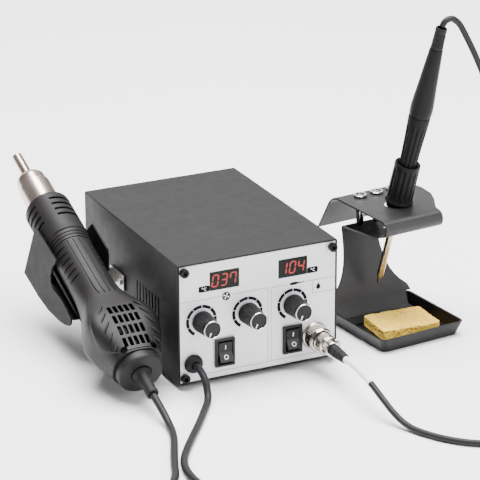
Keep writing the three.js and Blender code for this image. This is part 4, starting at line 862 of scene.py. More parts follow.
def add_print(sizes):
    """Printed frames, dial scales and small marks on the panel."""
    thick = sizes.print_thickness / MM
    lines = [
        (-59.4, 61.3, -29.3, 61.3), (-19.8, 61.3, 7.4, 61.3), (7.4, 61.3, 7.4, 5.4),
        (7.4, 5.4, -40, 5.4), (9.8, 61, 21.5, 61), (9.8, 61, 9.8, 5.6), (9.8, 5.6, 59.4, 5.6),
        (37.5, 61, 59.4, 61), (42.3, 61, 42.3, 51), (42.3, 51, 59.4, 51),
    ]
    fine = gathered(*[strip(*line, 0.32, thick) for line in lines])
    add_piece("panel_lines", fine, on_panel(0, 0), "pale_ink", "station")

    marks = []
    for x in KNOBS.values():
        for k in range(SCALE_MARKS):
            start = SCALE_START - k * SCALE_TURN / SCALE_MARKS
            end = start - SCALE_TURN / SCALE_MARKS + 2.2
            marks.append(ring_piece(9.4, 11.7, start, end, thick, x, KNOB_LEVEL))
    for start in (0, 180):
        marks.append(ring_piece(2.4, 3.2, start, start + 180, thick, *FAN_MARK, 16))
    for k in range(4):
        turn = 90 * k
        root = arc(0.5, turn, turn + 10, 1, *FAN_MARK)
        blade = [root[0], *arc(2.3, turn - 8, turn + 52, 5, *FAN_MARK), root[1]]
        marks.append(pulled(blade, thick))
    iron = [
        (24, 60.6), (26, 59.9), (29, 59.9), (31, 60.5), (36, 60.7), (36, 61.3), (31, 61.5),
        (29, 62.1), (26, 62.1), (24, 61.4),
    ]
    marks.append(pulled(iron, thick))
    drop = [(46.6, 58.6), *reversed(arc(1.75, -205, 25, 10, 46.6, 55.2))]
    marks.append(pulled(drop, thick))
    for x0, x1 in ((-45.5, -37.2), (37.9, 46.1)):
        tab = [
            *arc(1, 0, 90, 3, x1 - 1, 70.1), *arc(1, 90, 180, 3, x0 + 1, 70.1),
            *arc(1, 180, 270, 3, x0 + 1, 67.6), *arc(1, 270, 360, 3, x1 - 1, 67.6),
        ]
        marks.append(pulled(tab, thick))
    add_piece("panel_marks", gathered(*marks), on_panel(0, 0), "ink", "station")

    units = []
    for x in (-42.6, 41.1):
        for start in (0, 180):
            units.append(ring_piece(0.25, 0.5, start, start + 180, thick, x, 69.6, 6))
        units.append(ring_piece(0.75, 1.1, 50, 310, thick, x + 2.1, 68.8, 10))
    add_piece("unit_marks", gathered(*units), on_panel(0, 0, thick), "white", "station")


SEGMENTS = {"0": "abcdef", "1": "bc", "3": "abcdg", "4": "bcfg", "7": "abcf"}


def digit(figure, x, z, height, thick):
    """One seven-segment figure, leaning a little."""
    wide, bar = height * 0.5, height * 0.13
    half = height / 2
    places = {  # middle of each bar, and whether it lies flat
        "a": (0, half, True), "g": (0, 0, True), "d": (0, -half, True),
        "b": (wide / 2, half / 2, False), "c": (wide / 2, -half / 2, False),
        "e": (-wide / 2, -half / 2, False), "f": (-wide / 2, half / 2, False),
    }
    shapes = []
    for name in SEGMENTS[figure]:
        cx, cz, flat = places[name]
        reach = (wide if flat else half) / 2 - bar * 0.12
        outline = [
            (-reach, 0), (-reach + bar / 2, -bar / 2), (reach - bar / 2, -bar / 2), (reach, 0),
            (reach - bar / 2, bar / 2), (-reach + bar / 2, bar / 2),
        ]
        if not flat:
            outline = [(-b, a) for a, b in outline]
        lean = [(x + cx + a + 0.14 * (cz + b), z + cz + b) for a, b in outline]
        shapes.append(pulled(lean, thick))
    return shapes


def add_displays(sizes):
    """Two dark windows with lit figures."""
    height = sizes.digit_height / MM
    for node, (x, figures) in DISPLAYS.items():
        softened_node(node, "window", "station", 0.2)
        lit = []
        for k, figure in enumerate(figures):
            left = x + (k - 1) * DIGIT_PITCH - 0.2
            lit += digit(figure, left, DISPLAY_LEVEL, height - height * 0.13, 0.05)
        add_piece(f"{node}_digits", gathered(*lit), on_panel(0, 0), "digits", "station")


def add_knobs(sizes):
    """Three fluted knobs, each with a plated ring and a white pointer."""
    ring = sizes.knob_ring / MM
    base, face, height, lift = KNOB_BASE, KNOB_FACE, KNOB_HEIGHT, KNOB_LIFT
    top = lift + height
    for name, x in KNOBS.items():
        side = [(base - 0.9 * k / 7 - 0.15, lift + 1.6 + (height - 3.6) * k / 7) for k in range(8)]
        profile = [
            (0, -10), (2.5, -10), (2.5, 6), (4.2, 6), (4.2, lift), (base - 0.3, lift),
            (base, lift + 0.3), (base, lift + 1.3), *side, (face - 0.3, lift + height - ring - 0.2),
            (face - 0.3, lift + height - 0.35), (face - 0.9, lift + height - 0.35),
            (face - 1.3, lift + height - 0.7), (0, lift + height - 0.7),
        ]
        count = sizes.knob_flutes
        knob = flute(spun(profile, count * 4), count, 0.42, lift + 1.5, top - 1.7)
        place = on_panel(x, KNOB_LEVEL, PANEL_DEPTH)
        body = f"knob_{name}"
        add_piece(f"{body}_fluted", knob, place, "knob", body, (body,))
        hoop = spun([
            (face - 0.35, top - ring), (face - 0.1, top - ring), (face, top - ring * 0.8),
            (face, top - 0.3), (face - 0.2, top), (face - 0.5, top), (face - 0.65, top - 0.25),
            (face - 0.35, top - 0.35), (face - 0.35, top - ring),
        ], 96)
        add_piece(f"{body}_ring", hoop, place, "chrome", body)
        mark = gathered(
            slab(-0.45, 0.45, -face + 0.6, -face + 4.1, top - 0.8, top - 0.58),
            slab(-0.4, 0.4, -face - 0.02, -face + 0.5, top - 2.6, top + 0.02),
        )
        pointer = soften(moved(mark, Matrix.Rotation(KNOB_TURN, 4, "Z")), 0.05, 1)
        add_piece(f"{body}_pointer", pointer, place, "white", body)
        softened_node(f"pot_{name}", "tab", "station", 0.2)


def add_switches():
    """Two rocker switches with their on and off marks."""
    for name, x in SWITCHES.items():
        softened_node(f"switch_frame_{name}", "bezel", "station", 0.5, 3)
        body = f"rocker_{name}"
        softened_node(body, "gloss", body, 0.3, 3)
        pivot = CASE @ at(x, 0.5, SWITCH_LEVEL) @ Matrix.Rotation(-ROCKER_TILT, 4, "X")
        waist, rise, dip = 2, 6.87, 4.29  # the rocker's hollow face, from its pivot
        lean = math.atan2(dip - waist, rise)
        along = 0.52  # from the waist to the end
        for up, figure in ((1, "line"), (-1, "ring")):
            front = waist + (dip - waist) * along + 0.03
            face = (
                pivot @ at(0, -front, up * along * rise)
                @ Matrix.Rotation(math.radians(90) + up * lean, 4, "X")
            )
            if figure == "line":
                shape = pulled([(-0.3, -1.7), (0.3, -1.7), (0.3, 1.7), (-0.3, 1.7)], 0.08)
            else:
                shape = gathered(*[ring_piece(1.15, 1.7, s, s + 180, 0.08, 0, 0, 16) for s in (0, 180)])
            add_piece(f"{body}_{figure}", shape, face, "white", body)


def add_gland():
    """The moulded gland where the hot-air cord leaves the panel."""
    profile = [
        (0, -12), (5, -12), (5, -0.2), (6.3, -0.2), (6.75, 0.3), (6.75, 1.6), (6.4, 2.7), (5.5, 3.7),
        (4.4, 4.4), (3.7, 4.7), (3.2, 4.7), (3.0, 4.2), (2.9, 3), (0, 3),
    ]
    add_piece(
        "cord_gland_domed", spun(profile), on_panel(*GLAND_PLACE, PANEL_DEPTH), "rubber", "station",
        ("cord_gland",),
    )


def add_connector():
    """The round socket, and the iron's plug with its knurled ring, clamp and boot."""
    place = on_panel(*SOCKET_PLACE, PANEL_DEPTH)
    socket = spun([
        (0, -14), (6.7, -14), (7.7, -12), (7.7, -0.3), (9.7, -0.3), (10, 0), (10, 1.4), (9.5, 2),
        (8.9, 2.1), (8.6, 2.35), (7, 2.35), (6.9, 2.6), (6.9, 8.8), (5.9, 8.8), (5.9, 3), (0, 3),
    ], 72)
    add_piece("iron_socket_turned", socket, place, "nickel", "station",
              ("iron_socket",))
    profile = [(7.6, 2.7), (8.6, 2.7), (9.2, 3.2)]
    profile += [(9.2, 3.6 + 0.9 * k) for k in range(9)]
    profile += [(9.2, 11.2), (8.9, 11.7), (8.7, 12.4), (8.2, 12.9), (7.6, 12.9), (7.6, 2.7)]
    ring = flute(spun(profile, 160), 40, 0.3, 3.5, 11.1, 1.0, 8.5)
    add_piece("plug_ring_knurled", ring, place, "nickel", "plug_ring", ("plug_ring",))
    plug = spun([
        (0, 3.5), (5.3, 3.5), (5.3, 9.7), (7, 9.7), (7.1, 10), (7.1, 14), (6.7, 14.3), (6.7, 15.1),
        (7.05, 15.4), (7.05, 21.6), (6.7, 22.2), (5.9, 22.6), (5.7, 23), (5.7, 29.2), (5.3, 29.8),
        (0, 29.9),
    ], 72)
    saddle = [soften(slab(-6.4, 6.4, y0, y0 + 1.6, 23.6, 28.8), 0.4) for y0 in (1.2, -2.8)]
    heads = []
    for x in (-5.2, 5.2):
        head = spun([(0, 0), (1.5, 0), (1.5, 0.9), (1.1, 1.3), (0, 1.3)], 24)
        upright = Matrix.Rotation(math.radians(-90), 4, "X")
        heads.append(moved(head, Matrix.Translation((x, 2.8, 26.2)) @ upright))
    whole = gathered(plug, *saddle, *heads)
    add_piece("iron_plug_clamped", whole, place, "nickel", "station", ("iron_plug",))
    boot = spun([
        (0, 30.2), (3.9, 30.2), (4.3, 30.6), (4.3, 33), (4, 33.5), (4, 34.5), (4.15, 34.9), (4.1, 37.2),
        (3.8, 37.6), (3.8, 38.6), (3.95, 39), (3.85, 41.4), (3.55, 41.8), (3.55, 42.8), (3.65, 43.2),
        (3.4, 46.6), (3.2, 47.6), (2.9, 47.95), (0, 47.95),
    ], 48)
    add_piece("plug_boot_tapered", boot, place, "rubber", "station", ("plug_boot",))


# ------------------------------------------------------------------ hot-air gun
SEAM = -5
SHELL_START, SHELL_END = 7.3, 140.7
RING_GROOVES = (131.6, 134.6, 137.6)
WALL = 2.0
HANDLE = 15.8  # radius
SWELL_SIDE, SWELL_TOP, SWELL_UNDER = 10.4, 5.7, 3.2
SQUARE_TOP, SQUARE_UNDER = 2.6, 0.9  # how square the swelling's section grows
WELL_SIDE, WELL_STATION = 10.9, 9.9
LID_PROUD = 0.55


def swell(s):
    """How far the fan housing has swollen, 0 at the handle and 1 at its widest."""
    return math.exp(-(((s - FAN_STATION) / (24 if s > FAN_STATION else 26)) ** 2))


def shell_point(s, cosine, sine, inset=0.0):
    """A point on the gun's housing at a station, in a direction round its axis."""
    k = swell(s)
    flare = 0.9 * max(0.0, (s - 128) / 12)
    groove = sum(0.55 for g in RING_GROOVES if abs(s - g) < 0.45)
    grow = flare - groove - inset
    half = HANDLE + SWELL_SIDE * k + grow
    tall = HANDLE + (SWELL_TOP if sine > 0 else SWELL_UNDER) * k + grow
    power = 2 / (2 + (SQUARE_TOP if sine > 0 else SQUARE_UNDER) * k)
    x = half * math.copysign(abs(cosine) ** power, cosine)
    z = tall * math.copysign(abs(sine) ** power, sine)
    return Vector((x, s, z))


def shell_top(s):
    """Height of the housing's top over the axis."""
    return HANDLE + SWELL_TOP * swell(s)


def housing(inset, start, end, segments=112):
    """The gun's housing as one closed body."""
    stations = {start + (end - start) * i / 56 for i in range(57)}
    for g in RING_GROOVES:
        stations.update((g - 0.6, g - 0.4, g + 0.4, g + 0.6))
    profile = [(0, start), *((1, s) for s in sorted(stations)), (0, end)]
    shape = spun(profile, segments)
    shape.transform(Matrix.Rotation(math.radians(-90), 4, "X"))
    for vert in shape.verts:
        radius = math.hypot(vert.co.x, vert.co.z)
        if radius > 0.01:
            vert.co = shell_point(vert.co.y, vert.co.x / radius, vert.co.z / radius, inset)
    bmesh.ops.recalc_face_normals(shape, faces=shape.faces)
    return shape


def half_shell(keep_top, inset=0.0):
    """The upper or lower half of the housing, with a wall."""
    shape = housing(inset, SHELL_START, SHELL_END)
    level = SEAM + (0.15 if keep_top else -0.15)
    bmesh.ops.bisect_plane(
        shape, geom=[*shape.verts, *shape.edges, *shape.faces], dist=1e-4, plane_co=(0, 0, level),
        plane_no=(0, 0, 1), clear_inner=keep_top, clear_outer=not keep_top,
    )
    bmesh.ops.solidify(shape, geom=list(shape.faces), thickness=WALL)
    bmesh.ops.recalc_face_normals(shape, faces=shape.faces)
    return shape


def ridge_height(x, s):
    """Height of the housing's top surface at a place across and along it."""
    k = swell(s)
    power = 2 + SQUARE_TOP * k
    return shell_top(s) * (1 - (abs(x) / (HANDLE + SWELL_SIDE * k)) ** power) ** (1 / power)


def grille_cutters():
    """Twenty slots over the fan, four long grooves on the handle, side grooves and screw wells."""
    cutters = []
    for s in (14.9, 24.8, 34.8, 44.8):
        for k in range(-2, 3):
            x = k * 4.1
            slot = slab(x - 1.4, x + 1.4, s - 3.8, s + 3.8, 8, 30)
            cutters.append(soften(slot, 0.7, 2))
    for x in (-6.3, -2.1, 2.1, 6.3):
        drop = HANDLE - math.sqrt(HANDLE**2 - x**2)
        low = [(68 + 62 * i / 14, shell_top(68 + 62 * i / 14) - drop - 0.55) for i in range(15)]
        side = pulled([*low, (130, 26), (68, 26)], 0.8)
        side.transform(Matrix(((0, 0, 1, x - 0.4), (1, 0, 0, 0), (0, 1, 0, 0), (0, 0, 0, 1))))
        bmesh.ops.recalc_face_normals(side, faces=side.faces)
        cutters.append(side)
    for sign in (-1, 1):
        for k in range(6):
            bar = slab(-5.2, 5.2, -0.8, 0.8, 14.9, 19)
            turn = Matrix.Rotation(math.radians(sign * 56), 4, "Y")
            cutters.append(moved(bar, Matrix.Translation((0, 96 + 6 * k, 0)) @ turn))
        well = spun([(0, 4), (2.4, 4), (2.4, 30), (0, 30)], 32)
        cutters.append(moved(well, Matrix.Translation((sign * WELL_SIDE, WELL_STATION, 0))))
    return gathered(*cutters)


def housing_lid():
    """The raised lid over the fan, half a millimetre proud of the housing."""
    half = through([(12, 72, 0), (18.5, 56, 0), (24.8, 36, 0), (21.5, 19, 0), (13, 8.5, 0)], 6)
    outline = [(p.x, p.y) for p in half] + [(-p.x, p.y) for p in reversed(half)]
    block = moved(pulled(outline, 26), Matrix.Translation((0, 0, 5)))
    return carve(half_shell(True, -LID_PROUD), block, "INTERSECT")


def add_gun_shells():
    """Both halves of the housing, with grille, grooves, ridges and screw wells."""
    upper = carve(gathered(half_shell(True), housing_lid()), grille_cutters())
    add_piece("gun_upper_moulding", upper, GUN, "plastic", "gun", ("gun_shell_upper",))
    add_piece("gun_lower_moulding", half_shell(False), GUN, "plastic", "gun",
              ("gun_shell_lower",))
    ridges = []
    for sign in (-1, 1):
        for k in range(5):
            s = 14.5 + 8 * k
            reach = 13.4 + 2.4 * math.sin(math.pi * (k + 1) / 6)
            ridge = bmesh.new()
            bmesh.ops.create_uvsphere(ridge, u_segments=16, v_segments=10, radius=1)
            bmesh.ops.scale(ridge, vec=(0.85, 5.0, 1.3), verts=ridge.verts)
            top = ridge_height(sign * reach, s)
            ridge.transform(
                Matrix.Translation((sign * reach, s, top + 0.35))
                @ Matrix.Rotation(math.radians(sign * 14), 4, "Y")
                @ Matrix.Rotation(math.radians(sign * 38), 4, "Z")
            )
            ridges.append(ridge)
    add_piece("gun_ridges", gathered(*ridges), GUN, "plastic", "gun")
    heads = [
        moved(spun([(0, 5.5), (2.1, 5.5), (2.1, 7.4), (1.2, 7.4), (1.1, 6.7), (0, 6.7)], 24),
              Matrix.Translation((sign * WELL_SIDE, WELL_STATION, 0)))
        for sign in (-1, 1)
    ]
    add_piece("gun_shell_screws", gathered(*heads), GUN, "screw", "gun")


def add_gun_guard():
    """The slotted guard round the heater, and the tube inside it."""
    guard = spun([
        (11.2, 141), (16.3, 141), (17.2, 141.9), (17.2, 181.4), (16.6, 182.8), (15.2, 183), (14, 182.6),
        (14, 181.6), (15.2, 180.4), (15.2, 143), (11.2, 143), (11.2, 141),
    ], 128)
    cutters = []
    for row in range(4):
        s = 175.4 - 6 * row
        for turn in (-63, -178, -299):
            sector = swept_sector([(13, s - 1.15), (20, s - 1.15), (20, s + 1.15), (13, s + 1.15)],
                                  math.radians(76), 20)
            cutters.append(moved(sector, Matrix.Rotation(math.radians(turn), 4, "Z")))
    slotted = carve(guard, gathered(*cutters))
    add_piece("barrel_guard_slotted", slotted, ALONG_GUN, "guard", "gun", ("barrel_guard",))
    softened_node("heater_tube", "nozzle", "gun", 0.15)
    softened_node("heater_core", "ceramic", "gun", 0.3)


def add_gun_nozzle():
    """The slip-on nozzle, stepped down to a thin outlet."""
    shape = spun([
        (10.5, 186), (12.1, 186), (12.3, 186.3), (12.3, 207.5), (12.15, 207.9), (11.3, 208.4),
        (11.1, 208.8),
        (11.1, 215), (10.9, 216.6), (10.3, 218.2), (9.2, 219.7), (7.6, 220.9), (5.8, 221.6), (4.5, 222),
        (4.0, 222.6), (3.9, 223.6), (3.9, 246.6), (3.7, 247), (3.1, 247), (2.9, 246.6), (2.9, 220.5),
        (7.4, 217.5), (9.4, 214), (10.5, 205), (10.5, 186),
    ], 96)
    add_piece("gun_nozzle_stepped", shape, ALONG_GUN, "nozzle", "gun_nozzle",
              ("gun_nozzle",))


def add_gun_tail():
    """End cap, cord boot and the fan."""
    cap = spun([
        (0, 0.9), (7.2, 0.9), (7.7, 0.2), (8.4, 0), (14.9, 0.1), (15.9, 0.6), (16.4, 1.6), (16.5, 2.6),
        (16.5, 6.4), (16.2, 7), (0, 7),
    ], 96)
    add_piece("gun_end_cap_turned", cap, ALONG_GUN, "plastic", "gun", ("gun_end_cap",))
    boot = spun([
        (0, 0.5), (6.8, 0.5), (7, 0.1), (6.9, -0.9), (6.2, -1.8), (5.2, -3), (4.7, -5.2), (4.45, -9),
        (4.2, -14), (4.05, -17.6), (4.4, -18), (4.45, -18.8), (4.4, -20.6), (4.1, -21), (3.2, -21),
        (3, -20.4), (2.9, -18), (0, -18),
    ], 64)
    add_piece("gun_boot_collared", boot, ALONG_GUN, "rubber", "gun", ("gun_boot",))
    softened_node("gun_fan", "rubber", "gun_fan", 0.12)


def add_cradle():
    """The folded cradle and its plated tab."""
    softened_node("cradle", "cradle", "station", 0.3, 2, 28)
    softened_node("cradle_bracket", "tab", "station", 0.2)
    fold = pulled([
        (-18.5, -14.3), (-18.3, -15.9), (-17, -16.9), (-10, -17.6), (-9.4, -16.4), (-16.8, -15.2),
    ], 70)
    fold.transform(Matrix(((1, 0, 0, 0), (0, 0, 1, 81), (0, 1, 0, 0), (0, 0, 0, 1))))
    bmesh.ops.recalc_face_normals(fold, faces=fold.faces)
    add_piece("cradle_fold", soften(fold, 0.2), GUN, "cradle", "station")


# ------------------------------------------------------------------ stand and iron
def add_stand():
    """The bent bracket, the tray and the ribbed funnel."""
    softened_node("stand_bracket", "stand", "station", 0.3, 2, 28)
    softened_node("stand_tray", "tray", "station", 0.7, 3, 28)
    profile = [(7.5, -4.5), (8.4, -4.5), (8.4, 0), (10.2, 0), (10.4, 0.3), (10.4, 1.2)]
    profile += [(10, 1.7), (9.7, 2.4)]
    profile += [(9.6 - 0.2 * k / 9, 3 + 2.7 * k) for k in range(10)]
    profile += [(9.5, 28.6), (9.5, 30.6), (9.2, 31.2), (8.3, 31.2), (7.4, 30.4), (7.4, 0), (7.5, -4.5)]
    funnel = flute(spun(profile, 168), 14, 1.0, 2.6, 28.2, 0.5, 8.5)
    add_piece("stand_funnel_ribbed", funnel, IRON, "handle", "station",
              ("stand_funnel",), 40)


def add_sponge(sizes):
    """A damp-cut cellulose sponge with torn pores."""
    shape = bmesh.new()
    shape.from_mesh(bpy.data.objects["sponge"].data)
    bmesh.ops.remove_doubles(shape, verts=shape.verts, dist=2e-6)
    bmesh.ops.dissolve_limit(shape, angle_limit=math.radians(1), verts=shape.verts, edges=shape.edges)
    shape.transform(Matrix.Scale(1 / MM, 4))
    piece = add_piece("sponge_cellulose", shape, Matrix.Identity(4), "sponge", "sponge",
                      ("sponge",), 60)
    remesh = piece.modifiers.new("cells", "REMESH")
    remesh.mode = "VOXEL"
    remesh.voxel_size = 0.5 * MM
    bpy.context.view_layer.update()
    dense = bpy.data.meshes.new_from_object(piece.evaluated_get(bpy.context.evaluated_depsgraph_get()))
    piece.modifiers.clear()
    low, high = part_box("sponge")
    cells = bmesh.new()
    cells.from_mesh(dense)
    cells.normal_update()
    pore = sizes.sponge_pore
    moves = []
    for vert in cells.verts:
        here = vert.co / MM
        waves = noise.noise(here * 0.16) * 0.5 + noise.noise(here * 0.6) * 0.25
        cell = noise.voronoi(vert.co / pore)[0][0]
        fine = noise.voronoi(vert.co / (pore * 0.45))[0][0]
        rim = 1.0 if abs(vert.normal.z) < 0.8 else 0.55
        pit = -1.9 * rim * max(0.0, 0.45 - cell) / 0.45 - 0.45 * max(0.0, 0.4 - fine) / 0.4
        top = min(1.0, max(0.0, (vert.co.z - low.z) / (high.z - low.z) * 3))
        moves.append(vert.normal * (waves + pit - 0.25) * top * MM)
    for vert, move in zip(cells.verts, moves):
        vert.co += move
        vert.co.z = max(vert.co.z, low.z)
    cells.to_mesh(dense)
    cells.free()
    dense.shade_smooth()
    dense.materials.clear()
    dense.materials.append(MATERIALS["sponge"])
    piece.data = dense


def add_spare_tips():
    """Plated spare tips, standing in the stand's head."""
    for i in range(1, 4):
        node = f"spare_tip_{i}"
        low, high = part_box(node)
        place = Matrix.Translation(((low.x + high.x) / 2, (low.y + high.y) / 2, high.z))
        shape = spun([
            (0, -24.4), (1.2, -24.3), (2.4, -22.6), (2.9, -21), (2.95, -1.8), (4.7, -1.6),
            (5, -1.3), (5, -0.4), (4.6, 0), (3.3, 0), (3, -0.4), (2.3, -2.2), (2.2, -9), (0, -9.4),
        ], 64)
        add_piece(f"{node}_plated", shape, place, "chrome", node, (node,))


def add_iron():
    """Tip, sleeve, grip, handle and ribbed boot."""
    tip = spun([
        (0, -71.9), (0.45, -71.7), (0.7, -70.8), (1.6, -66), (1.75, -64.6), (1.75, -50.5), (0, -50.5),
    ], 40)
    add_piece("iron_tip_pointed", tip, IRON, "tip", "iron", ("iron_tip",))
    sleeve = spun([
        (2.0, -64.4), (2.35, -64.4), (2.5, -64.1), (2.5, -20), (2.9, -19.4), (3.1, -19), (3.1, -14.6),
        (2.6, -14.2), (2.6, 0), (4, 2), (4, 9.7), (0, 9.7), (0, -48), (2.0, -48), (2.0, -64.4),
    ], 56)
    add_piece("iron_sleeve_turned", sleeve, IRON, "sleeve", "iron", ("iron_sleeve",))
    outline = through([(6.4, 0, 14), (6.5, 0, 31), (6.9, 0, 45), (7.5, 0, 58), (7.9, 0, 67)], 8)
    profile = [(0, 10), (4.9, 10), (6.2, 12.6), *((p.x, p.z) for p in outline)]
    profile += [(7.95, 69), (7.85, 70.1), (0, 70.1)]
    grip = flute(spun(profile, 168), 12, 0.75, 15, 64, 0.5)
    add_piece("iron_grip_fluted", grip, IRON, "grip", "iron", ("iron_grip",), 40)
    handle = spun([
        (0, 70.4), (7.6, 70.4), (7.9, 70.7), (8.1, 72.5), (8.25, 75.4), (8.25, 77.4), (8.1, 80), (7.8, 84),
        (7.3, 90), (6.6, 99), (5.9, 109), (5.3, 117), (4.9, 122), (4.7, 123.6), (4.4, 124.1), (0, 124.1),
    ], 72)
    add_piece("iron_handle_tapered", handle, IRON, "handle", "iron", ("iron_handle",))
    profile = [(0, 124.4), (4.4, 124.4), (4.5, 124.7), (4.45, 126.2)]
    for k in range(6):
        low = 126.6 + 1.75 * k
        radius = 4.4 - 0.06 * k
        profile += [
            (radius - 0.4, low), (radius - 0.4, low + 0.5), (radius, low + 0.75), (radius, low + 1.5),
        ]
    profile += [
        (4.0, 137.4), (4.15, 138), (4.1, 139.7), (3.8, 140.2), (3.1, 140.2), (2.9, 139.6),
        (2.8, 137), (0, 137),
    ]
    add_piece("iron_boot_ribbed", spun(profile, 56), IRON, "rubber", "iron",
              ("iron_boot",))


# ------------------------------------------------------------------ operators
class StationOperator:
    """What every operator here shares."""

    bl_options = {"REGISTER", "UNDO"}


class STATION_OT_camera(StationOperator, bpy.types.Operator):
    """Makes the finishes and sets up the camera"""

    bl_idname = "station.set_camera"
    bl_label = "Set camera"

    def execute(self, context):
        make_materials(context.scene.station_colours, context.scene.station_sizes)
        aim_camera(context.scene.station_stage)
        return {"FINISHED"}


class STATION_OT_cords(StationOperator, bpy.types.Operator):
    """Lays both cords, coils and all"""

    bl_idname = "station.lay_cords"
    bl_label = "Lay cords"

    def execute(self, context):
        add_gun_cord(context.scene.station_sizes)
        add_iron_cord(context.scene.station_sizes)
        return {"FINISHED"}


class STATION_OT_stage(StationOperator, bpy.types.Operator):
    """Adds the floor, the lights and the sky"""

    bl_idname = "station.set_stage"
    bl_label = "Set stage"

    def execute(self, context):
        add_stage(context.scene.station_stage)
        return {"FINISHED"}


class STATION_OT_case(StationOperator, bpy.types.Operator):
    """Adds the control case with its cover, panel and feet"""

    bl_idname = "station.add_case"
    bl_label = "Add case"

    def execute(self, context):
        add_case(context.scene.station_sizes)
        return {"FINISHED"}


class STATION_OT_screws(StationOperator, bpy.types.Operator):
    """Adds the four panel screws"""

    bl_idname = "station.add_screws"
    bl_label = "Add screws"

    def execute(self, context):
        add_screws()
        return {"FINISHED"}


class STATION_OT_print(StationOperator, bpy.types.Operator):
    """Adds the printed frames, scales and marks"""

    bl_idname = "station.add_print"
    bl_label = "Add print"

    def execute(self, context):
        add_print(context.scene.station_sizes)
        return {"FINISHED"}


class STATION_OT_displays(StationOperator, bpy.types.Operator):
    """Adds the two displays with their figures"""

    bl_idname = "station.add_displays"
    bl_label = "Add displays"

    def execute(self, context):
        add_displays(context.scene.station_sizes)
        return {"FINISHED"}


class STATION_OT_knobs(StationOperator, bpy.types.Operator):
    """Adds the three fluted knobs"""

    bl_idname = "station.add_knobs"
    bl_label = "Add knobs"

    def execute(self, context):
        add_knobs(context.scene.station_sizes)
        return {"FINISHED"}


class STATION_OT_switches(StationOperator, bpy.types.Operator):
    """Adds the two rocker switches"""

    bl_idname = "station.add_switches"
    bl_label = "Add switches"

    def execute(self, context):
        add_switches()
        return {"FINISHED"}


class STATION_OT_gland(StationOperator, bpy.types.Operator):
    """Adds the hot-air cord's gland"""

    bl_idname = "station.add_gland"
    bl_label = "Add gland"

    def execute(self, context):
        add_gland()
        return {"FINISHED"}


class STATION_OT_connector(StationOperator, bpy.types.Operator):
    """Adds the iron's socket and plug"""

    bl_idname = "station.add_connector"
    bl_label = "Add connector"

    def execute(self, context):
        add_connector()
        return {"FINISHED"}


class STATION_OT_gun_shells(StationOperator, bpy.types.Operator):
    """Adds both halves of the hot-air gun's housing"""

    bl_idname = "station.add_gun_shells"
    bl_label = "Add gun housing"

    def execute(self, context):
        add_gun_shells()
        return {"FINISHED"}


class STATION_OT_gun_guard(StationOperator, bpy.types.Operator):
    """Adds the slotted guard and the heater tube"""

    bl_idname = "station.add_gun_guard"
    bl_label = "Add gun guard"

    def execute(self, context):
        add_gun_guard()
        return {"FINISHED"}


class STATION_OT_gun_nozzle(StationOperator, bpy.types.Operator):
    """Adds the slip-on nozzle"""

    bl_idname = "station.add_gun_nozzle"
    bl_label = "Add nozzle"

    def execute(self, context):
        add_gun_nozzle()
        return {"FINISHED"}


class STATION_OT_gun_tail(StationOperator, bpy.types.Operator):
    """Adds the gun's end cap, cord boot and fan"""

    bl_idname = "station.add_gun_tail"
    bl_label = "Add gun tail"

    def execute(self, context):
        add_gun_tail()
        return {"FINISHED"}


class STATION_OT_cradle(StationOperator, bpy.types.Operator):
    """Adds the cradle that holds the gun"""

    bl_idname = "station.add_cradle"
    bl_label = "Add cradle"

    def execute(self, context):
        add_cradle()
        return {"FINISHED"}


class STATION_OT_stand(StationOperator, bpy.types.Operator):
    """Adds the iron's stand, tray and funnel"""

    bl_idname = "station.add_stand"
    bl_label = "Add stand"

    def execute(self, context):
        add_stand()
        return {"FINISHED"}


class STATION_OT_sponge(StationOperator, bpy.types.Operator):
    """Adds the cleaning sponge"""

    bl_idname = "station.add_sponge"
    bl_label = "Add sponge"

    def execute(self, context):
        add_sponge(context.scene.station_sizes)
        return {"FINISHED"}


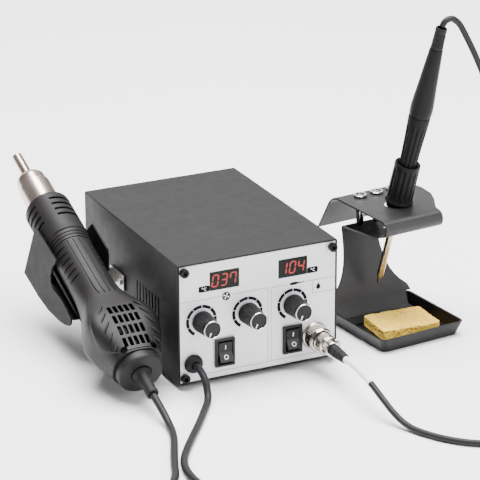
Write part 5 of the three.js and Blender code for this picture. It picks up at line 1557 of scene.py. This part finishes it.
class STATION_OT_spare_tips(StationOperator, bpy.types.Operator):
    """Adds the spare tips"""

    bl_idname = "station.add_spare_tips"
    bl_label = "Add spare tips"

    def execute(self, context):
        add_spare_tips()
        return {"FINISHED"}


class STATION_OT_iron(StationOperator, bpy.types.Operator):
    """Adds the soldering iron"""

    bl_idname = "station.add_iron"
    bl_label = "Add iron"

    def execute(self, context):
        add_iron()
        return {"FINISHED"}


OPERATORS = (
    STATION_OT_camera, STATION_OT_cords, STATION_OT_stage, STATION_OT_case, STATION_OT_screws,
    STATION_OT_print, STATION_OT_displays, STATION_OT_knobs, STATION_OT_switches, STATION_OT_gland,
    STATION_OT_connector, STATION_OT_gun_shells, STATION_OT_gun_guard, STATION_OT_gun_nozzle,
    STATION_OT_gun_tail, STATION_OT_cradle, STATION_OT_stand, STATION_OT_sponge, STATION_OT_spare_tips,
    STATION_OT_iron,
)


class STATION_PT_panel(bpy.types.Panel):
    """Lists every step of the station"""

    bl_label = "Soldering Station"
    bl_idname = "STATION_PT_panel"
    bl_space_type = "VIEW_3D"
    bl_region_type = "UI"
    bl_category = "Station"

    def draw(self, context):
        layout = self.layout
        scene = context.scene
        for group in (scene.station_sizes, scene.station_colours, scene.station_stage):
            box = layout.box()
            for name in group.__annotations__:
                box.prop(group, name)
        for step in OPERATORS:
            layout.operator(step.bl_idname)


CLASSES = (StationSizes, StationColours, StationStage, *OPERATORS, STATION_PT_panel)


def register():
    """Adds the classes and their settings."""
    for item in CLASSES:
        bpy.utils.register_class(item)
    bpy.types.Scene.station_sizes = bpy.props.PointerProperty(type=StationSizes)
    bpy.types.Scene.station_colours = bpy.props.PointerProperty(type=StationColours)
    bpy.types.Scene.station_stage = bpy.props.PointerProperty(type=StationStage)


def unregister():
    """Takes them away again."""
    del bpy.types.Scene.station_stage
    del bpy.types.Scene.station_colours
    del bpy.types.Scene.station_sizes
    for item in reversed(CLASSES):
        bpy.utils.unregister_class(item)


def main():
    """Builds the station."""
    register()
    for step in OPERATORS:
        group, name = step.bl_idname.split(".")
        getattr(getattr(bpy.ops, group), name)()


if __name__ == "__main__":
    main()
